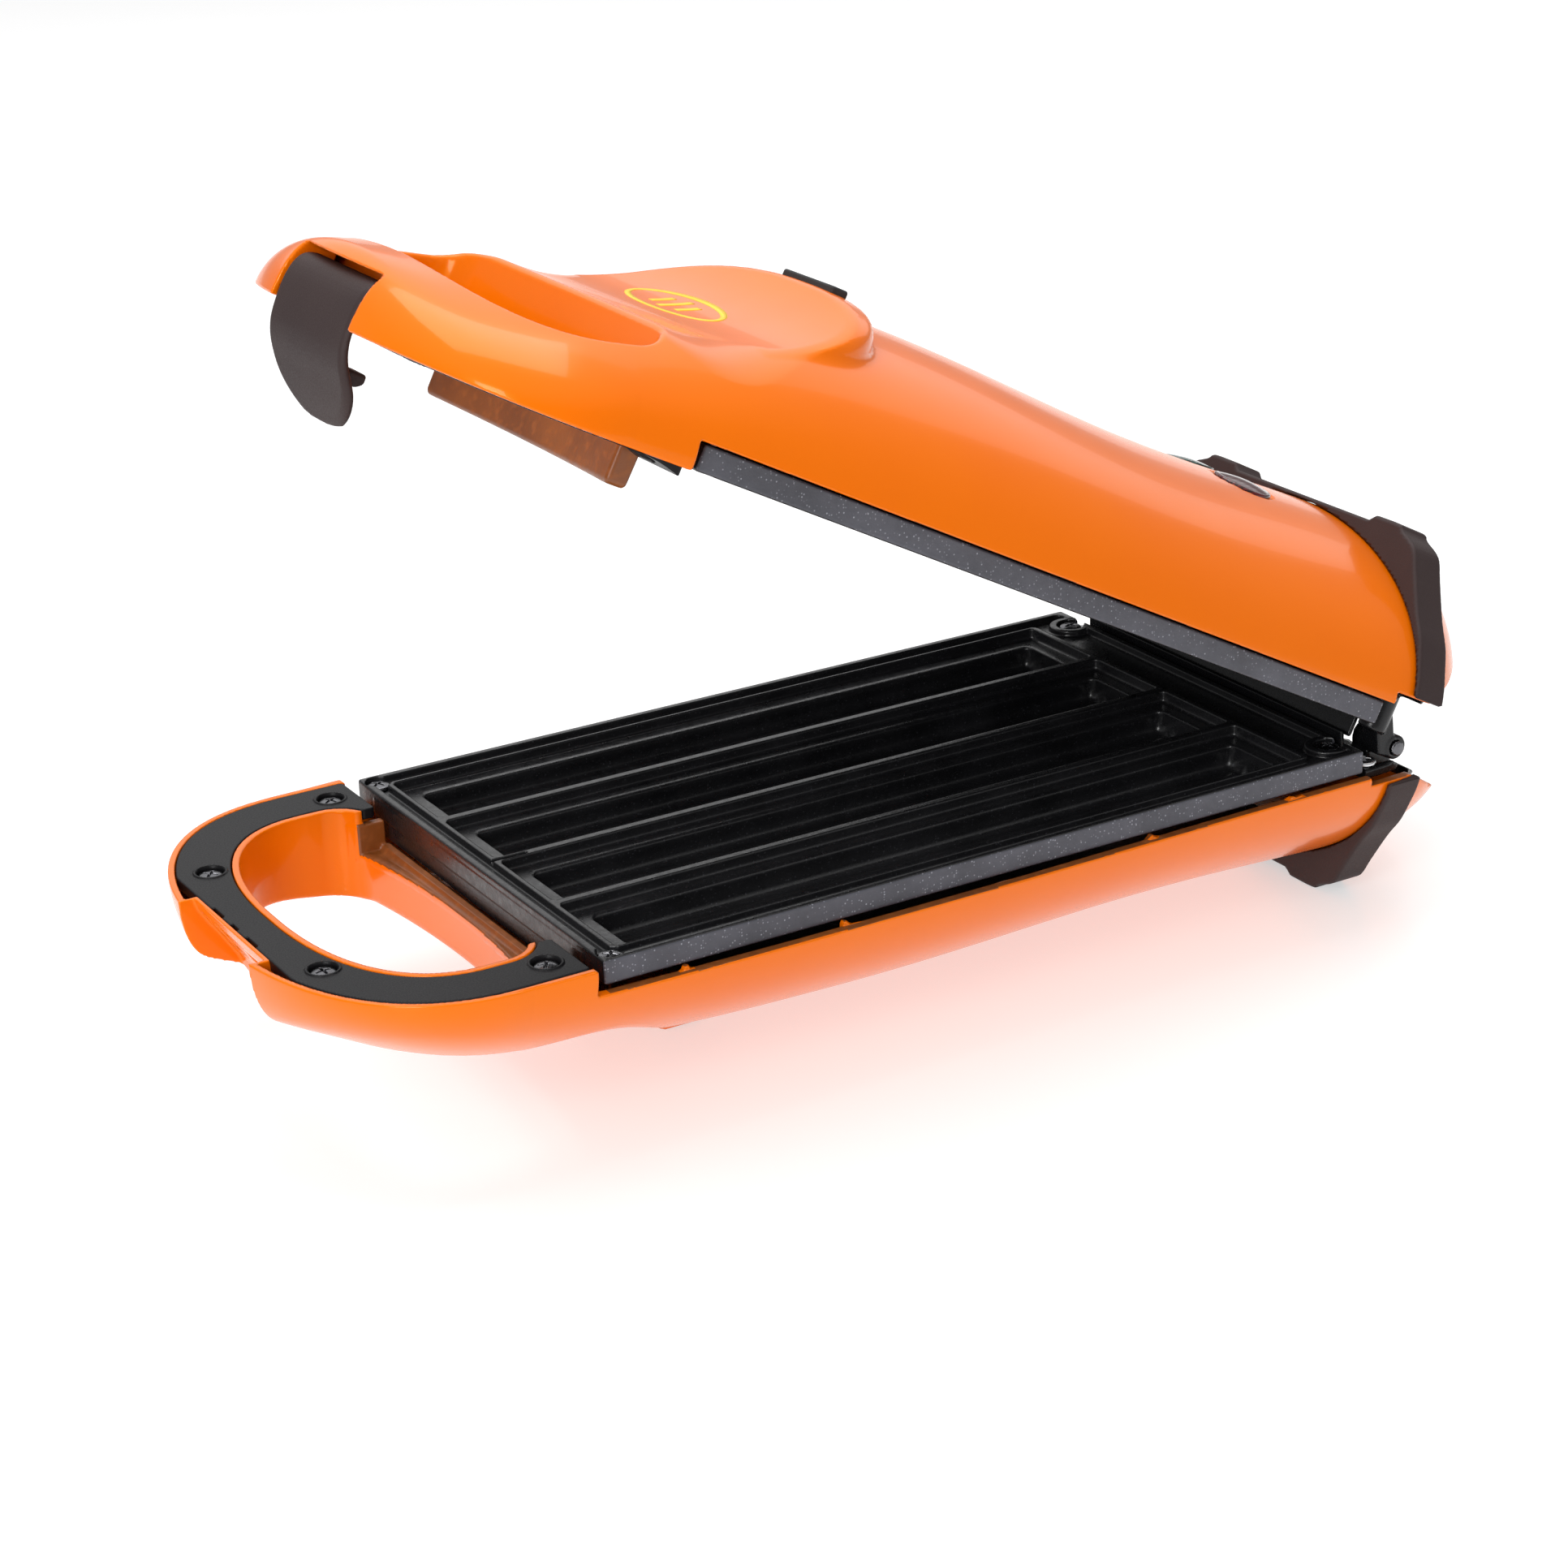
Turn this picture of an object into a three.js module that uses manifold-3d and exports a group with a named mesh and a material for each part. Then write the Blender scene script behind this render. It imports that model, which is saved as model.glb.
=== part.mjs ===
// Four-trough churro maker: a clamshell grill with a carrying handle at the front and a hinge at the rear.
// Millimetres, +Z up. +X runs from the handle to the hinge, +Y to the far side.
//
// Both halves are drawn in one "half frame": x = 0 at the front edge of the grill plate, y = 0 on the
// centre plane, z = 0 on the plane where the plates meet and z growing outwards, into the housing.
// The lower half is that drawing mirrored in z, the lid is the same drawing turned about the hinge.
import * as THREE from "three";
import { LoftGeometry } from "three/addons/geometries/LoftGeometry.js";
import { mergeVertices } from "three/addons/utils/BufferGeometryUtils.js";
import Module from "manifold-3d";

// ---- driving dimensions ----
const LID_OPEN_DEG = 28; // how far the lid stands open at rest
const HINGE = { x: 244.4, z: -3.84 }; // hinge axis in the half frame of the lower half
const FOOT_HEIGHT = 52.5; // feet to parting plane
const ORIGIN_X = 51; // centre of the front foot pad
const GAP = 0.3; // clearance between neighbouring pieces
const WALL = 3; // housing wall

const PLATE = { length: 230, halfWidth: 69.9, face: 0.15, skirt: 6.75, sheet: 3 };
const TROUGH = { pitch: 32.2, from: 7, to: 219, ridge: 10.8, groove: 13.6, shell: 16, flutes: 8 };

const BODY = {
  tip: -71.5, // front of the handle
  handleCentre: -20, // centre of the handle's rounded plan
  halfWidth: 73.2,
  bulge: 2.4,
  rear: 236, // where the tail begins to round off
  tail: 52, // length of the rounded tail
  roundness: 2.4, // exponent of the handle's plan curve
  handleDepth: 17,
  riseTo: 60, // where the crown reaches its full height
  crown: 46.5,
  rearCrown: 49,
};
const GRIP = { front: -53.6, halfWidth: 54.7, centre: -22, rearEdge: -8.9, bow: 3.5, corner: 8 };
const RIM = { plateFront: -3, rear: 232, rear2: 246, rearHeight: 10, slope: 0.62 };
const INSERT = { inset: 2, end: -4, sideStep: 48.5, thickness: 3 };
const SCREW = { head: 3.4, headHeight: 1.7, shank: 1.5, length: 9 };
const GRIP_SCREWS = [[-11.4, 62.2], [-56.5, 34.9]];
const PLATE_SCREWS = [[4, 65.6], [226, 59.5]];
const LEDGE = { from: -14, to: -0.8, halfWidth: 49 };
const DECK = { from: 231.6, flat: 242, height: 6.5, thickness: 3 };
const APRON = { halfWidth: 60, depth: 12, thickness: 2.5 }; // front wall of the cast plate, down to the ledge
const SPLASH = { baseFrom: 231.7, lidFrom: 234, thickness: 1.5, halfWidth: 58, baseTop: -1.2, lidTop: -5.9 };
const ARCH = { front: 237, rear: 248, foot: 10.7 };
const LATCH = { halfWidth: 20.8, slot: 21.8, wall: 1.2, pinX: -63.5, pinZ: 9, pin: 1.5 };
const LEG = { inner: 59.5, outer: 66, eye: 3.9, pin: 2 };
const LAMP = { x: 204, y: 13, lens: 8.5, bulb: 3 };

const LOWER = {
  name: "lower", rim: 0.6, plateRim: 7.9, insertFace: 0.6, ledge: 12.6,
  scoop: { x: -8, depth: 23.5, radius: 60 },
};
const UPPER = {
  name: "upper", rim: 0, plateRim: 7.2, insertFace: -0.8, ledge: 2,
  scoop: { x: -4, depth: 27.8, radius: 83 },
};

// ---- materials ----
const paint = (color, roughness, metalness = 0) => new THREE.MeshStandardMaterial({ color, roughness, metalness });
const ORANGE = paint(0xf07a10, 0.18);
const SATIN_BLACK = paint(0x1c1b1d, 0.45);
const MATTE_BROWN = paint(0x352c2b, 0.6);
const NON_STICK = paint(0x2e2f33, 0.5, 0.3);
const STEEL = paint(0x2a2a2d, 0.3, 0.9);
const BRIGHT_STEEL = paint(0xc9c9cb, 0.25, 1);
const ALUMINIUM = paint(0xb4b6b8, 0.4, 1);
const RUBBER = paint(0x17161a, 0.85);
const RED_LENS = paint(0x7a1016, 0.1);
const GREEN_LENS = paint(0x0f4a45, 0.1);
const CERAMIC = paint(0xd9d2c0, 0.6);

// ---- solid tools ----
const wasm = await Module();
wasm.setup();

// A closed geometry as a solid that can be joined and cut.
function solid(geometry) {
  const bare = geometry.index ? geometry.toNonIndexed() : geometry.clone();
  bare.deleteAttribute("normal");
  bare.deleteAttribute("uv");
  const merged = mergeVertices(bare, 1e-4);
  const index = merged.index.array;
  const kept = [];
  for (let i = 0; i < index.length; i += 3) {
    const [a, b, c] = index.slice(i, i + 3);
    if (a !== b && b !== c && c !== a) kept.push(a, b, c);
  }
  const vertProperties = merged.attributes.position.array;
  return new wasm.Manifold(new wasm.Mesh({ numProp: 3, vertProperties, triVerts: new Uint32Array(kept) }));
}

// A named mesh made from a solid.
function piece(name, body, material) {
  const made = body.getMesh();
  const geometry = new THREE.BufferGeometry();
  geometry.setAttribute("position", new THREE.BufferAttribute(new Float32Array(made.vertProperties), 3));
  geometry.setIndex(new THREE.BufferAttribute(new Uint32Array(made.triVerts), 1));
  geometry.computeVertexNormals();
  const mesh = new THREE.Mesh(geometry, material);
  mesh.name = name;
  return mesh;
}

const outline = (points) => new THREE.Shape(points.map(([a, b]) => new THREE.Vector2(a, b)));

const extruded = (shape, depth) =>
  new THREE.ExtrudeGeometry(shape, { depth, bevelEnabled: false, curveSegments: 8, steps: 1 });

// A plan outline (x, y) raised from z0 to z1.
function alongZ(shape, z0, z1) {
  return solid(extruded(shape, z1 - z0).translate(0, 0, z0));
}

// A side outline (x, z) drawn out from y0 to y1.
function alongY(shape, y0, y1) {
  return solid(extruded(shape, y1 - y0).rotateX(Math.PI / 2).translate(0, y1, 0));
}

// A cross outline (y, z) drawn out from x0 to x1.
function alongX(shape, x0, x1) {
  const turn = new THREE.Matrix4().makeBasis(
    new THREE.Vector3(0, 1, 0), new THREE.Vector3(0, 0, 1), new THREE.Vector3(1, 0, 0));
  return solid(extruded(shape, x1 - x0).applyMatrix4(turn).translate(x0, 0, 0));
}

function block(x0, x1, y0, y1, z0, z1) {
  const box = new THREE.BoxGeometry(x1 - x0, y1 - y0, z1 - z0);
  return solid(box.translate((x0 + x1) / 2, (y0 + y1) / 2, (z0 + z1) / 2));
}

// A round bar along z, y or x.
function rod(axis, radius, centre, from, to, sides = 16) {
  const bar = new THREE.CylinderGeometry(radius, radius, to - from, sides);
  const middle = (from + to) / 2;
  if (axis === "z") return solid(bar.rotateX(Math.PI / 2).translate(centre[0], centre[1], middle));
  if (axis === "x") return solid(bar.rotateZ(Math.PI / 2).translate(middle, centre[0], centre[1]));
  return solid(bar.translate(centre[0], middle, centre[1]));
}

const joined = (first, ...others) => others.reduce((sum, other) => sum.add(other), first);
const cut = (first, ...others) => others.reduce((rest, other) => rest.subtract(other), first);
const bothSides = (make) => [make(-1), make(1)];

// ---- the housing's outer form ----
const smooth = (from, to, x) => THREE.MathUtils.smoothstep(x, from, to);
const tailShare = (x) => Math.max(0, (x - BODY.rear) / BODY.tail);

function bodyHalfWidth(x) {
  if (x < BODY.handleCentre) {
    const share = (BODY.handleCentre - x) / (BODY.handleCentre - BODY.tip);
    return BODY.halfWidth * Math.pow(1 - Math.pow(share, BODY.roundness), 1 / BODY.roundness);
  }
  const along = Math.min(1, (x - BODY.handleCentre) / (BODY.rear - BODY.handleCentre));
  const tail = Math.sqrt(Math.max(0, 1 - tailShare(x) ** 2));
  return (BODY.halfWidth + BODY.bulge * Math.sin(Math.PI * along)) * tail;
}

function bodyHeight(x) {
  const rise = Math.min(1, (x - BODY.tip) / (BODY.riseTo - BODY.tip));
  const crown = BODY.handleDepth + (BODY.crown - BODY.handleDepth) * Math.sin(rise * Math.PI / 2);
  const nose = Math.max(0, (BODY.tip + 7.5 - x) / 7.5);
  const rounding = Math.pow(1 - Math.pow(nose, 2.5), 1 / 2.5);
  const tail = Math.pow(Math.max(0, 1 - Math.pow(tailShare(x), 3.5)), 1 / 3.5);
  return (crown + (BODY.rearCrown - BODY.crown) * smooth(150, BODY.rear, x)) * rounding * tail;
}

// Stations are close together where the body rounds off and far apart along its straight middle.
function stations(inset) {
  const nose = [0.1, 1, 3, 7.5, 12, 19, 29, 44, 64, 90].map((d) => BODY.tip + d);
  const middle = [60, 125, 190, BODY.rear];
  const tail = [0.3, 0.55, 0.75, 0.88, 0.95, 0.985].map((share) => BODY.rear + share * BODY.tail);
  const all = [...nose, ...middle, ...tail];
  const first = BODY.tip + 0.1;
  const last = all[all.length - 1];
  return all.map((x) => first + inset + (x - first) * (last - first - 2 * inset) / (last - first));
}

// The body without openings, moved in from its skin by `inset`, with its floor at z = floor.
function bodySolid(inset, floor) {
  const segments = 14;
  const sections = stations(Math.max(0, inset)).map((x) => {
    const width = Math.max(1, bodyHalfWidth(x) - inset);
    const height = Math.max(1, bodyHeight(x) - inset);
    const arch = Array.from({ length: segments + 1 }, (_, i) => {
      const angle = Math.PI * i / segments;
      return new THREE.Vector3(x, width * Math.cos(angle), height * Math.sin(angle));
    });
    return [new THREE.Vector3(x, width, floor), ...arch, new THREE.Vector3(x, -width, floor)];
  });
  return solid(new LoftGeometry(sections, { capStart: true, capEnd: true }));
}

// The finger hole's plan: a rounded front, two round rear corners and a slightly bowed rear edge.
function gripPlan(grow) {
  const { front, halfWidth, centre, rearEdge, bow, corner } = GRIP;
  const reach = centre - front + grow;
  const half = halfWidth + grow;
  const rear = rearEdge + grow;
  const shape = new THREE.Shape();
  shape.moveTo(rear, -(half - corner));
  shape.quadraticCurveTo(rear + 2 * bow, 0, rear, half - corner);
  shape.quadraticCurveTo(rear - 0.5, half - 0.5, rear - corner, half);
  const steps = 16;
  for (let i = 0; i <= steps; i++) {
    const angle = Math.PI / 2 + Math.PI * i / steps;
    const c = Math.cos(angle);
    const s = Math.sin(angle);
    const power = 2 / BODY.roundness;
    shape.lineTo(centre - reach * Math.abs(c) ** power, half * Math.sign(s) * Math.abs(s) ** power);
  }
  shape.lineTo(rear - corner, -half);
  shape.quadraticCurveTo(rear - 0.5, -half + 0.5, rear, -(half - corner));
  return shape;
}

// The plan of the handle's outer rim, moved in by `inset`, ending at x = end.
function handlePlan(inset, end) {
  const points = [[end, bodyHalfWidth(BODY.handleCentre) - inset]];
  const steps = 18;
  for (let i = 0; i <= steps; i++) {
    const angle = Math.PI / 2 + Math.PI * i / steps;
    const power = 2 / BODY.roundness;
    const reach = BODY.handleCentre - BODY.tip - inset;
    const half = BODY.halfWidth - inset;
    const s = Math.sin(angle);
    points.push([
      BODY.handleCentre - reach * Math.abs(Math.cos(angle)) ** power,
      half * Math.sign(s) * Math.abs(s) ** power]);
  }
  points.push([end, -(bodyHalfWidth(BODY.handleCentre) - inset)]);
  return outline(points);
}

// Everything on the parting side of the housing's rim, which steps back beside the plate and at the tail.
function rimCutter(half) {
  const { plateFront, rear, rear2, rearHeight, slope } = RIM;
  const end = BODY.rear + BODY.tail + 10;
  return alongY(outline([
    [BODY.tip - 10, -8], [end, -8], [end, rearHeight + slope * (end - rear2)], [rear2, rearHeight],
    [rear, rearHeight], [rear, half.plateRim], [plateFront, half.plateRim], [plateFront, half.rim],
    [BODY.tip - 10, half.rim],
  ]), -90, 90);
}

// The scoop in the crown behind the finger hole, a round trough across the body.
function scoopCutter(half, grow) {
  const { x, depth, radius } = half.scoop;
  return rod("y", radius + grow, [x, depth + radius], -90, 90, 128);
}

// The hump that carries the rubber pad: a steep bank behind the scoop on the lid, a foot on the base.
function humpSolid(half) {
  if (half === LOWER) {
    const bank = outline([[-22.5, 38], [22.5, 38], [21, 50.2], [20.4, 50.8], [-20.4, 50.8], [-21, 50.2]]);
    return alongX(bank, 42, 60);
  }
  const bank = outline([[-36, 38], [36, 38], [28, 46.5], [20, 50.8], [-20, 50.8], [-28, 46.5]]);
  return alongX(bank, 36, 61);
}

// Posts behind the grip insert that take its screws.
function gripPosts(half, radius, from, to) {
  return GRIP_SCREWS.flatMap(([x, y]) => bothSides((side) => rod("z", radius, [x, side * y], from, to)));
}

function housing(half) {
  const outer = bodySolid(0, -4);
  const skin = joined(outer, humpSolid(half)).subtract(scoopCutter(half, 0));
  const gripTube = alongZ(gripPlan(2), -6, 60);
  const room = bodySolid(WALL, -6).subtract(scoopCutter(half, WALL)).subtract(gripTube);
  const insertBack = half.insertFace + INSERT.thickness + GAP;
  const rebate = alongZ(handlePlan(INSERT.inset - GAP, INSERT.end + GAP), -10, insertBack).subtract(gripTube);
  let shell = cut(skin, room, rebate, alongZ(gripPlan(0), -10, 70), rimCutter(half));
  for (const post of gripPosts(half, 3.6, insertBack, 30)) shell = shell.add(post.intersect(outer));
  for (const bore of gripPosts(half, SCREW.shank + GAP, insertBack - 1, insertBack + 8)) shell = shell.subtract(bore);
  shell = half === LOWER ? lowerFront(shell) : upperFront(shell);
  return shell;
}

// Lower half: a sunken ledge behind the finger hole and a recess at the tip that takes the latch.
function lowerFront(shell) {
  const clear = block(LEDGE.from, 1, -LEDGE.halfWidth, LEDGE.halfWidth, -5, LOWER.ledge);
  const ledge = block(LEDGE.from, LEDGE.to, -LEDGE.halfWidth - 1.5, LEDGE.halfWidth + 1.5, LOWER.ledge, LOWER.ledge + 2);
  const ridge = block(-3.2, LEDGE.to, -LEDGE.halfWidth + 1, LEDGE.halfWidth - 1, LOWER.ledge - 1.5, LOWER.ledge + 1);
  const cheeks = bothSides((side) => {
    const y0 = side > 0 ? LEDGE.halfWidth : -LEDGE.halfWidth - 1.5;
    return block(-9, LEDGE.to, y0, y0 + 1.5, 4.2, LOWER.ledge + 1);
  });
  const hole = alongZ(gripPlan(0), -10, 70);
  const floor = joined(ledge, ridge, ...cheeks).subtract(hole);
  const { slot } = LATCH;
  const skin = bodySolid(0, -4).subtract(rimCutter(LOWER));
  const pocket = alongY(latchPocket(LATCH.wall), -slot - LATCH.wall, slot + LATCH.wall).intersect(skin);
  const recess = alongY(latchPocket(0), -slot, slot);
  const catchSlot = block(-70, -61, -16, 16, 4.3, 11);
  return cut(joined(shell.subtract(clear), floor, pocket), recess, catchSlot, glandBody(5 + GAP));
}

// The side outline of the recess that takes the latch, its back moved in by `inset`.
function latchPocket(inset) {
  const back = [[-68, -5], [-68, 2.5], [-65.6, 7], [-62.6, 13.2], [-56.6, 18], [-56.6, 30]];
  return outline([[-80, -5], ...back.map(([x, z]) => [x + inset, z]), [-80, 30]]);
}

// Lid: a block that drops onto the ledge of the lower half, and a slot at the tip for the latch.
function upperFront(shell) {
  const plan = new THREE.Shape();
  const y = LEDGE.halfWidth - 2;
  plan.moveTo(-1.2, -y);
  plan.lineTo(-1.2, y);
  plan.lineTo(-6, y);
  plan.quadraticCurveTo(-8.6, y, -8.4, y - 3);
  plan.quadraticCurveTo(-3.4, 0, -8.4, -y + 3);
  plan.quadraticCurveTo(-8.6, -y, -6, -y);
  const tongue = alongZ(plan, -9.5, 3);
  const bridge = block(LEDGE.from, -1.2, -LEDGE.halfWidth, LEDGE.halfWidth, 2, 4).subtract(alongZ(gripPlan(0), -10, 70));
  const slot = block(-80, -58.2, -LATCH.slot, LATCH.slot, -5, 14.6);
  const pinBore = rod("y", LATCH.pin + GAP, [LATCH.pinX, LATCH.pinZ], -25.2, 25.2);
  const cheeks = bothSides((side) => {
    const y0 = side > 0 ? LATCH.slot : -LATCH.slot - 5;
    return block(-69, -57, y0, y0 + 5, UPPER.insertFace + INSERT.thickness + GAP, 17).intersect(bodySolid(0.5, -4));
  });
  return cut(joined(shell, tongue, bridge, ...cheeks), slot, pinBore, ...lensBores(GAP));
}

const lensBores = (grow) => bothSides((side) => rod("z", LAMP.lens + grow, [LAMP.x, side * LAMP.y], 30, 60, 20));

// The black trim let into the handle's parting face.
function gripInsert(half) {
  const back = half.insertFace + INSERT.thickness;
  const plan = alongZ(handlePlan(INSERT.inset, INSERT.end), half.insertFace, back);
  const inside = alongZ(gripPlan(2 + GAP), -10, 20);
  const rearGap = block(-14, 5, -INSERT.sideStep - 1.8, INSERT.sideStep + 1.8, -10, 20);
  const latchNotch = block(-80, half === LOWER ? -65.8 : -65.2, -LATCH.slot - 2.3, LATCH.slot + 2.3, -10, 20);
  const holes = GRIP_SCREWS.flatMap(([x, y]) => bothSides((side) => rod("z", SCREW.shank + GAP, [x, side * y], -10, 20)));
  const sinks = GRIP_SCREWS.flatMap(([x, y]) =>
    bothSides((side) => rod("z", SCREW.head + GAP, [x, side * y], half.insertFace - 1, half.insertFace + SCREW.headHeight)));
  return cut(plan, inside, rearGap, latchNotch, ...holes, ...sinks);
}

// A pan-head screw whose head rests at depth z, shank running into the housing.
function screw(x, y, face) {
  const head = rod("z", SCREW.head, [x, y], face, face + SCREW.headHeight - GAP, 12);
  const shank = rod("z", SCREW.shank, [x, y], face + SCREW.headHeight - GAP - 0.01, face + SCREW.length, 8);
  return head.add(shank);
}

// ---- cooking parts ----
const troughCentres = [-1.5, -0.5, 0.5, 1.5].map((n) => n * TROUGH.pitch);

function flutedPlan(y) {
  const steps = 24;
  const middle = (TROUGH.ridge + TROUGH.groove) / 2;
  const swing = (TROUGH.groove - TROUGH.ridge) / 2;
  const points = Array.from({ length: steps + 1 }, (_, i) => {
    const angle = Math.PI * i / steps;
    const r = middle + swing * Math.cos(TROUGH.flutes * angle);
    return [y + r * Math.cos(angle), PLATE.face + r * Math.sin(angle)];
  });
  return outline([[y + TROUGH.groove, PLATE.face - 2], ...points, [y - TROUGH.groove, PLATE.face - 2]]);
}

function shellPlan(y) {
  const steps = 12;
  return outline(Array.from({ length: steps + 1 }, (_, i) => {
    const angle = Math.PI * i / steps;
    return [y + TROUGH.shell * Math.cos(angle), PLATE.face + 0.5 + (TROUGH.shell - 0.5) * Math.sin(angle)];
  }));
}

function grillPlate() {
  const { length, halfWidth, face, skirt, sheet } = PLATE;
  const tray = block(0, length, -halfWidth, halfWidth, face, skirt)
    .subtract(block(3, length - 3, -halfWidth + 3, halfWidth - 3, face + sheet, skirt + 1));
  const apron = block(0, APRON.thickness, -APRON.halfWidth, APRON.halfWidth, face + 1, APRON.depth);
  const shells = troughCentres.map((y) => alongX(shellPlan(y), TROUGH.from - 3, TROUGH.to + 3));
  const flutes = troughCentres.map((y) => alongX(flutedPlan(y), TROUGH.from, TROUGH.to));
  const pockets = bothSides((side) => rod("z", 3.9, [4, side * 65.6], -1, 2.1, 16));
  const holes = PLATE_SCREWS.flatMap(([x, y]) => bothSides((side) => rod("z", SCREW.shank + GAP, [x, side * y], -1, 12, 10)));
  const bosses = bothSides((side) => rod("z", 6.4, [226, side * 59.5], face, skirt, 20).intersect(tray.add(block(
    219, 227, -67, 67, face, skirt))));
  const sinks = bothSides((side) => rod("z", SCREW.head + GAP, [226, side * 59.5], -1, face + SCREW.headHeight, 16));
  return cut(joined(tray, apron, ...shells, ...bosses), ...flutes, ...pockets, ...holes, ...sinks);
}

// A sheathed heater bent to a U under the troughs.
function heatingElement() {
  const radius = 3.2;
  const [rear, bend, reach, depth] = [212, 64, 30, 20.4];
  const path = new THREE.CurvePath();
  const at = (x, y) => new THREE.Vector3(x, y, depth);
  path.add(new THREE.LineCurve3(at(rear, -reach), at(bend, -reach)));
  path.add(new THREE.QuadraticBezierCurve3(at(bend, -reach), at(bend - reach, -reach), at(bend - reach, 0)));
  path.add(new THREE.QuadraticBezierCurve3(at(bend - reach, 0), at(bend - reach, reach), at(bend, reach)));
  path.add(new THREE.LineCurve3(at(bend, reach), at(rear, reach)));
  const sides = 8;
  const section = outline(Array.from({ length: sides }, (_, i) => {
    const angle = 2 * Math.PI * i / sides;
    return [radius * Math.cos(angle), radius * Math.sin(angle)];
  }));
  return solid(new THREE.ExtrudeGeometry(section, { steps: 28, extrudePath: path }));
}

function heatShield() {
  const tray = block(36, 220, -52, 52, 24.4, 27.2);
  return tray.subtract(block(37, 219, -51, 51, 23, 26.2)).subtract(rod("z", 9, [120, 0], 20, 30, 20));
}

function thermostat() {
  const can = rod("z", 8, [120, 0], 17.2, 25.4, 20);
  const tabs = bothSides((side) => block(117.5, 122.5, side > 0 ? 6 : -8.6, side > 0 ? 8.6 : -6, 23.4, 28));
  return joined(can, ...tabs);
}

// ---- rear of the machine ----
// The body's plan behind the plate, moved in by `inset`.
function tailPlan(inset) {
  const points = [[DECK.from, bodyHalfWidth(BODY.rear) - inset]];
  const steps = 12;
  for (let i = 0; i <= steps; i++) {
    const x = BODY.rear + (BODY.tail * 0.9 - inset) * Math.sin(Math.PI / 2 * i / steps);
    points.push([x, Math.max(2, bodyHalfWidth(x) - inset)]);
  }
  return outline([...points, ...points.map(([x, y]) => [x, -y]).reverse()]);
}

// A deck that closes the tail: level behind the plate, then falling away so the two tails pass as the lid opens.
function tailDeck() {
  const { from, flat, height, thickness } = DECK;
  const fall = (x) => height + RIM.slope * Math.max(0, x - flat);
  const end = 290;
  const slab = alongY(outline([
    [from, height], [flat, height], [end, fall(end)], [end, fall(end) + thickness], [flat, height + thickness],
    [from, height + thickness]]), -80, 80);
  return slab.intersect(alongZ(tailPlan(WALL + GAP + 0.3), 0, 60)).intersect(bodySolid(WALL + GAP, -6));
}

const legSlots = (from, to) => bothSides((side) => {
  const y0 = side > 0 ? LEG.inner - 0.5 : -LEG.outer - 0.6;
  return block(from, to, y0, y0 + LEG.outer - LEG.inner + 1.1, -20, 30);
});

// The lower deck carries two bearing ears for the hinge pins, just inside the lid's legs.
function hingeBlock() {
  const ear = new THREE.Shape();
  ear.moveTo(HINGE.x - LEG.eye, 7);
  ear.lineTo(HINGE.x - LEG.eye, -HINGE.z);
  ear.absarc(HINGE.x, -HINGE.z, LEG.eye, Math.PI, 2 * Math.PI, false);
  ear.lineTo(HINGE.x + LEG.eye, 12);
  ear.lineTo(HINGE.x - LEG.eye, 12);
  const ears = bothSides((side) => alongY(ear, side > 0 ? 52 : -59.1, side > 0 ? 59.1 : -52));
  const bores = rod("y", LEG.pin + 0.1, [HINGE.x, -HINGE.z], -70, 70, 16);
  const screwHoles = bothSides((side) => rod("z", SCREW.shank + GAP, [234.2, side * 65], 0, 20, 10));
  const wall = splashWall(SPLASH.baseFrom, SPLASH.baseTop, DECK.height + 1);
  const deck = cut(tailDeck(), ...legSlots(238, 251.5), ...screwHoles, glandBody(5.5 + GAP));
  return joined(deck, wall, ...ears).subtract(bores);
}

// A low wall across the gap behind the plates. The base and the lid each carry one, and they pass each other.
function splashWall(from, top, foot) {
  return block(from, from + SPLASH.thickness, -SPLASH.halfWidth, SPLASH.halfWidth, top, foot);
}

function rearCover() {
  const notches = bothSides((side) => block(228, 246, side > 0 ? LEG.inner - 0.5 : -80, side > 0 ? 80 : 0.5 - LEG.inner, -20, 30));
  return joined(cut(tailDeck(), ...notches), splashWall(SPLASH.lidFrom, SPLASH.lidTop, DECK.height + 1));
}

// The lid's hinge leg, in the lid's own frame: a bar from the lid's rear down to an eye on the hinge pin.
function hingeLeg(side) {
  const bar = outline([
    [229.5, 13], [231.2, 5.2], [239.4, -6.6], [243, -6.5], [244.5, -4], [236.4, 7.4], [235.5, 13]]);
  const y0 = side > 0 ? LEG.inner : -LEG.outer;
  const y1 = side > 0 ? LEG.outer : -LEG.inner;
  const eye = rod("y", LEG.eye, [HINGE.x, HINGE.z], y0, y1, 20);
  return alongY(bar, y0, y1).add(eye).subtract(rod("y", LEG.pin + 0.1, [HINGE.x, HINGE.z], -80, 80, 16));
}

function hingePin(side) {
  const shank = rod("y", LEG.pin, [HINGE.x, HINGE.z], side > 0 ? 50.5 : -66.8, side > 0 ? 66.8 : -50.5, 16);
  const head = rod("y", 2.8, [HINGE.x, HINGE.z], side > 0 ? 66.3 : -67.2, side > 0 ? 67.2 : -66.3, 16);
  return shank.add(head);
}

// The band round the rear that carries two feet, standing proud of the housing.
function footArch() {
  const half = [[72, ARCH.foot], [71.6, 15.3], [68.9, 20], [65.7, 25.6], [57, 37], [53, 43], [50.5, 47],
    [47, 50], [42.5, 52], [40.5, FOOT_HEIGHT], [31.5, FOOT_HEIGHT], [29.5, 50.6]];
  const shape = outline([...half, ...half.map(([y, z]) => [-y, z]).reverse()]);
  return alongX(shape, ARCH.front, ARCH.rear).subtract(bodySolid(-GAP, -4));
}

// A bush for the mains lead, in the end of the lower tail.
const glandBody = (radius) => rod("x", radius, [0, 36], 264, 284.5, 16);

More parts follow.
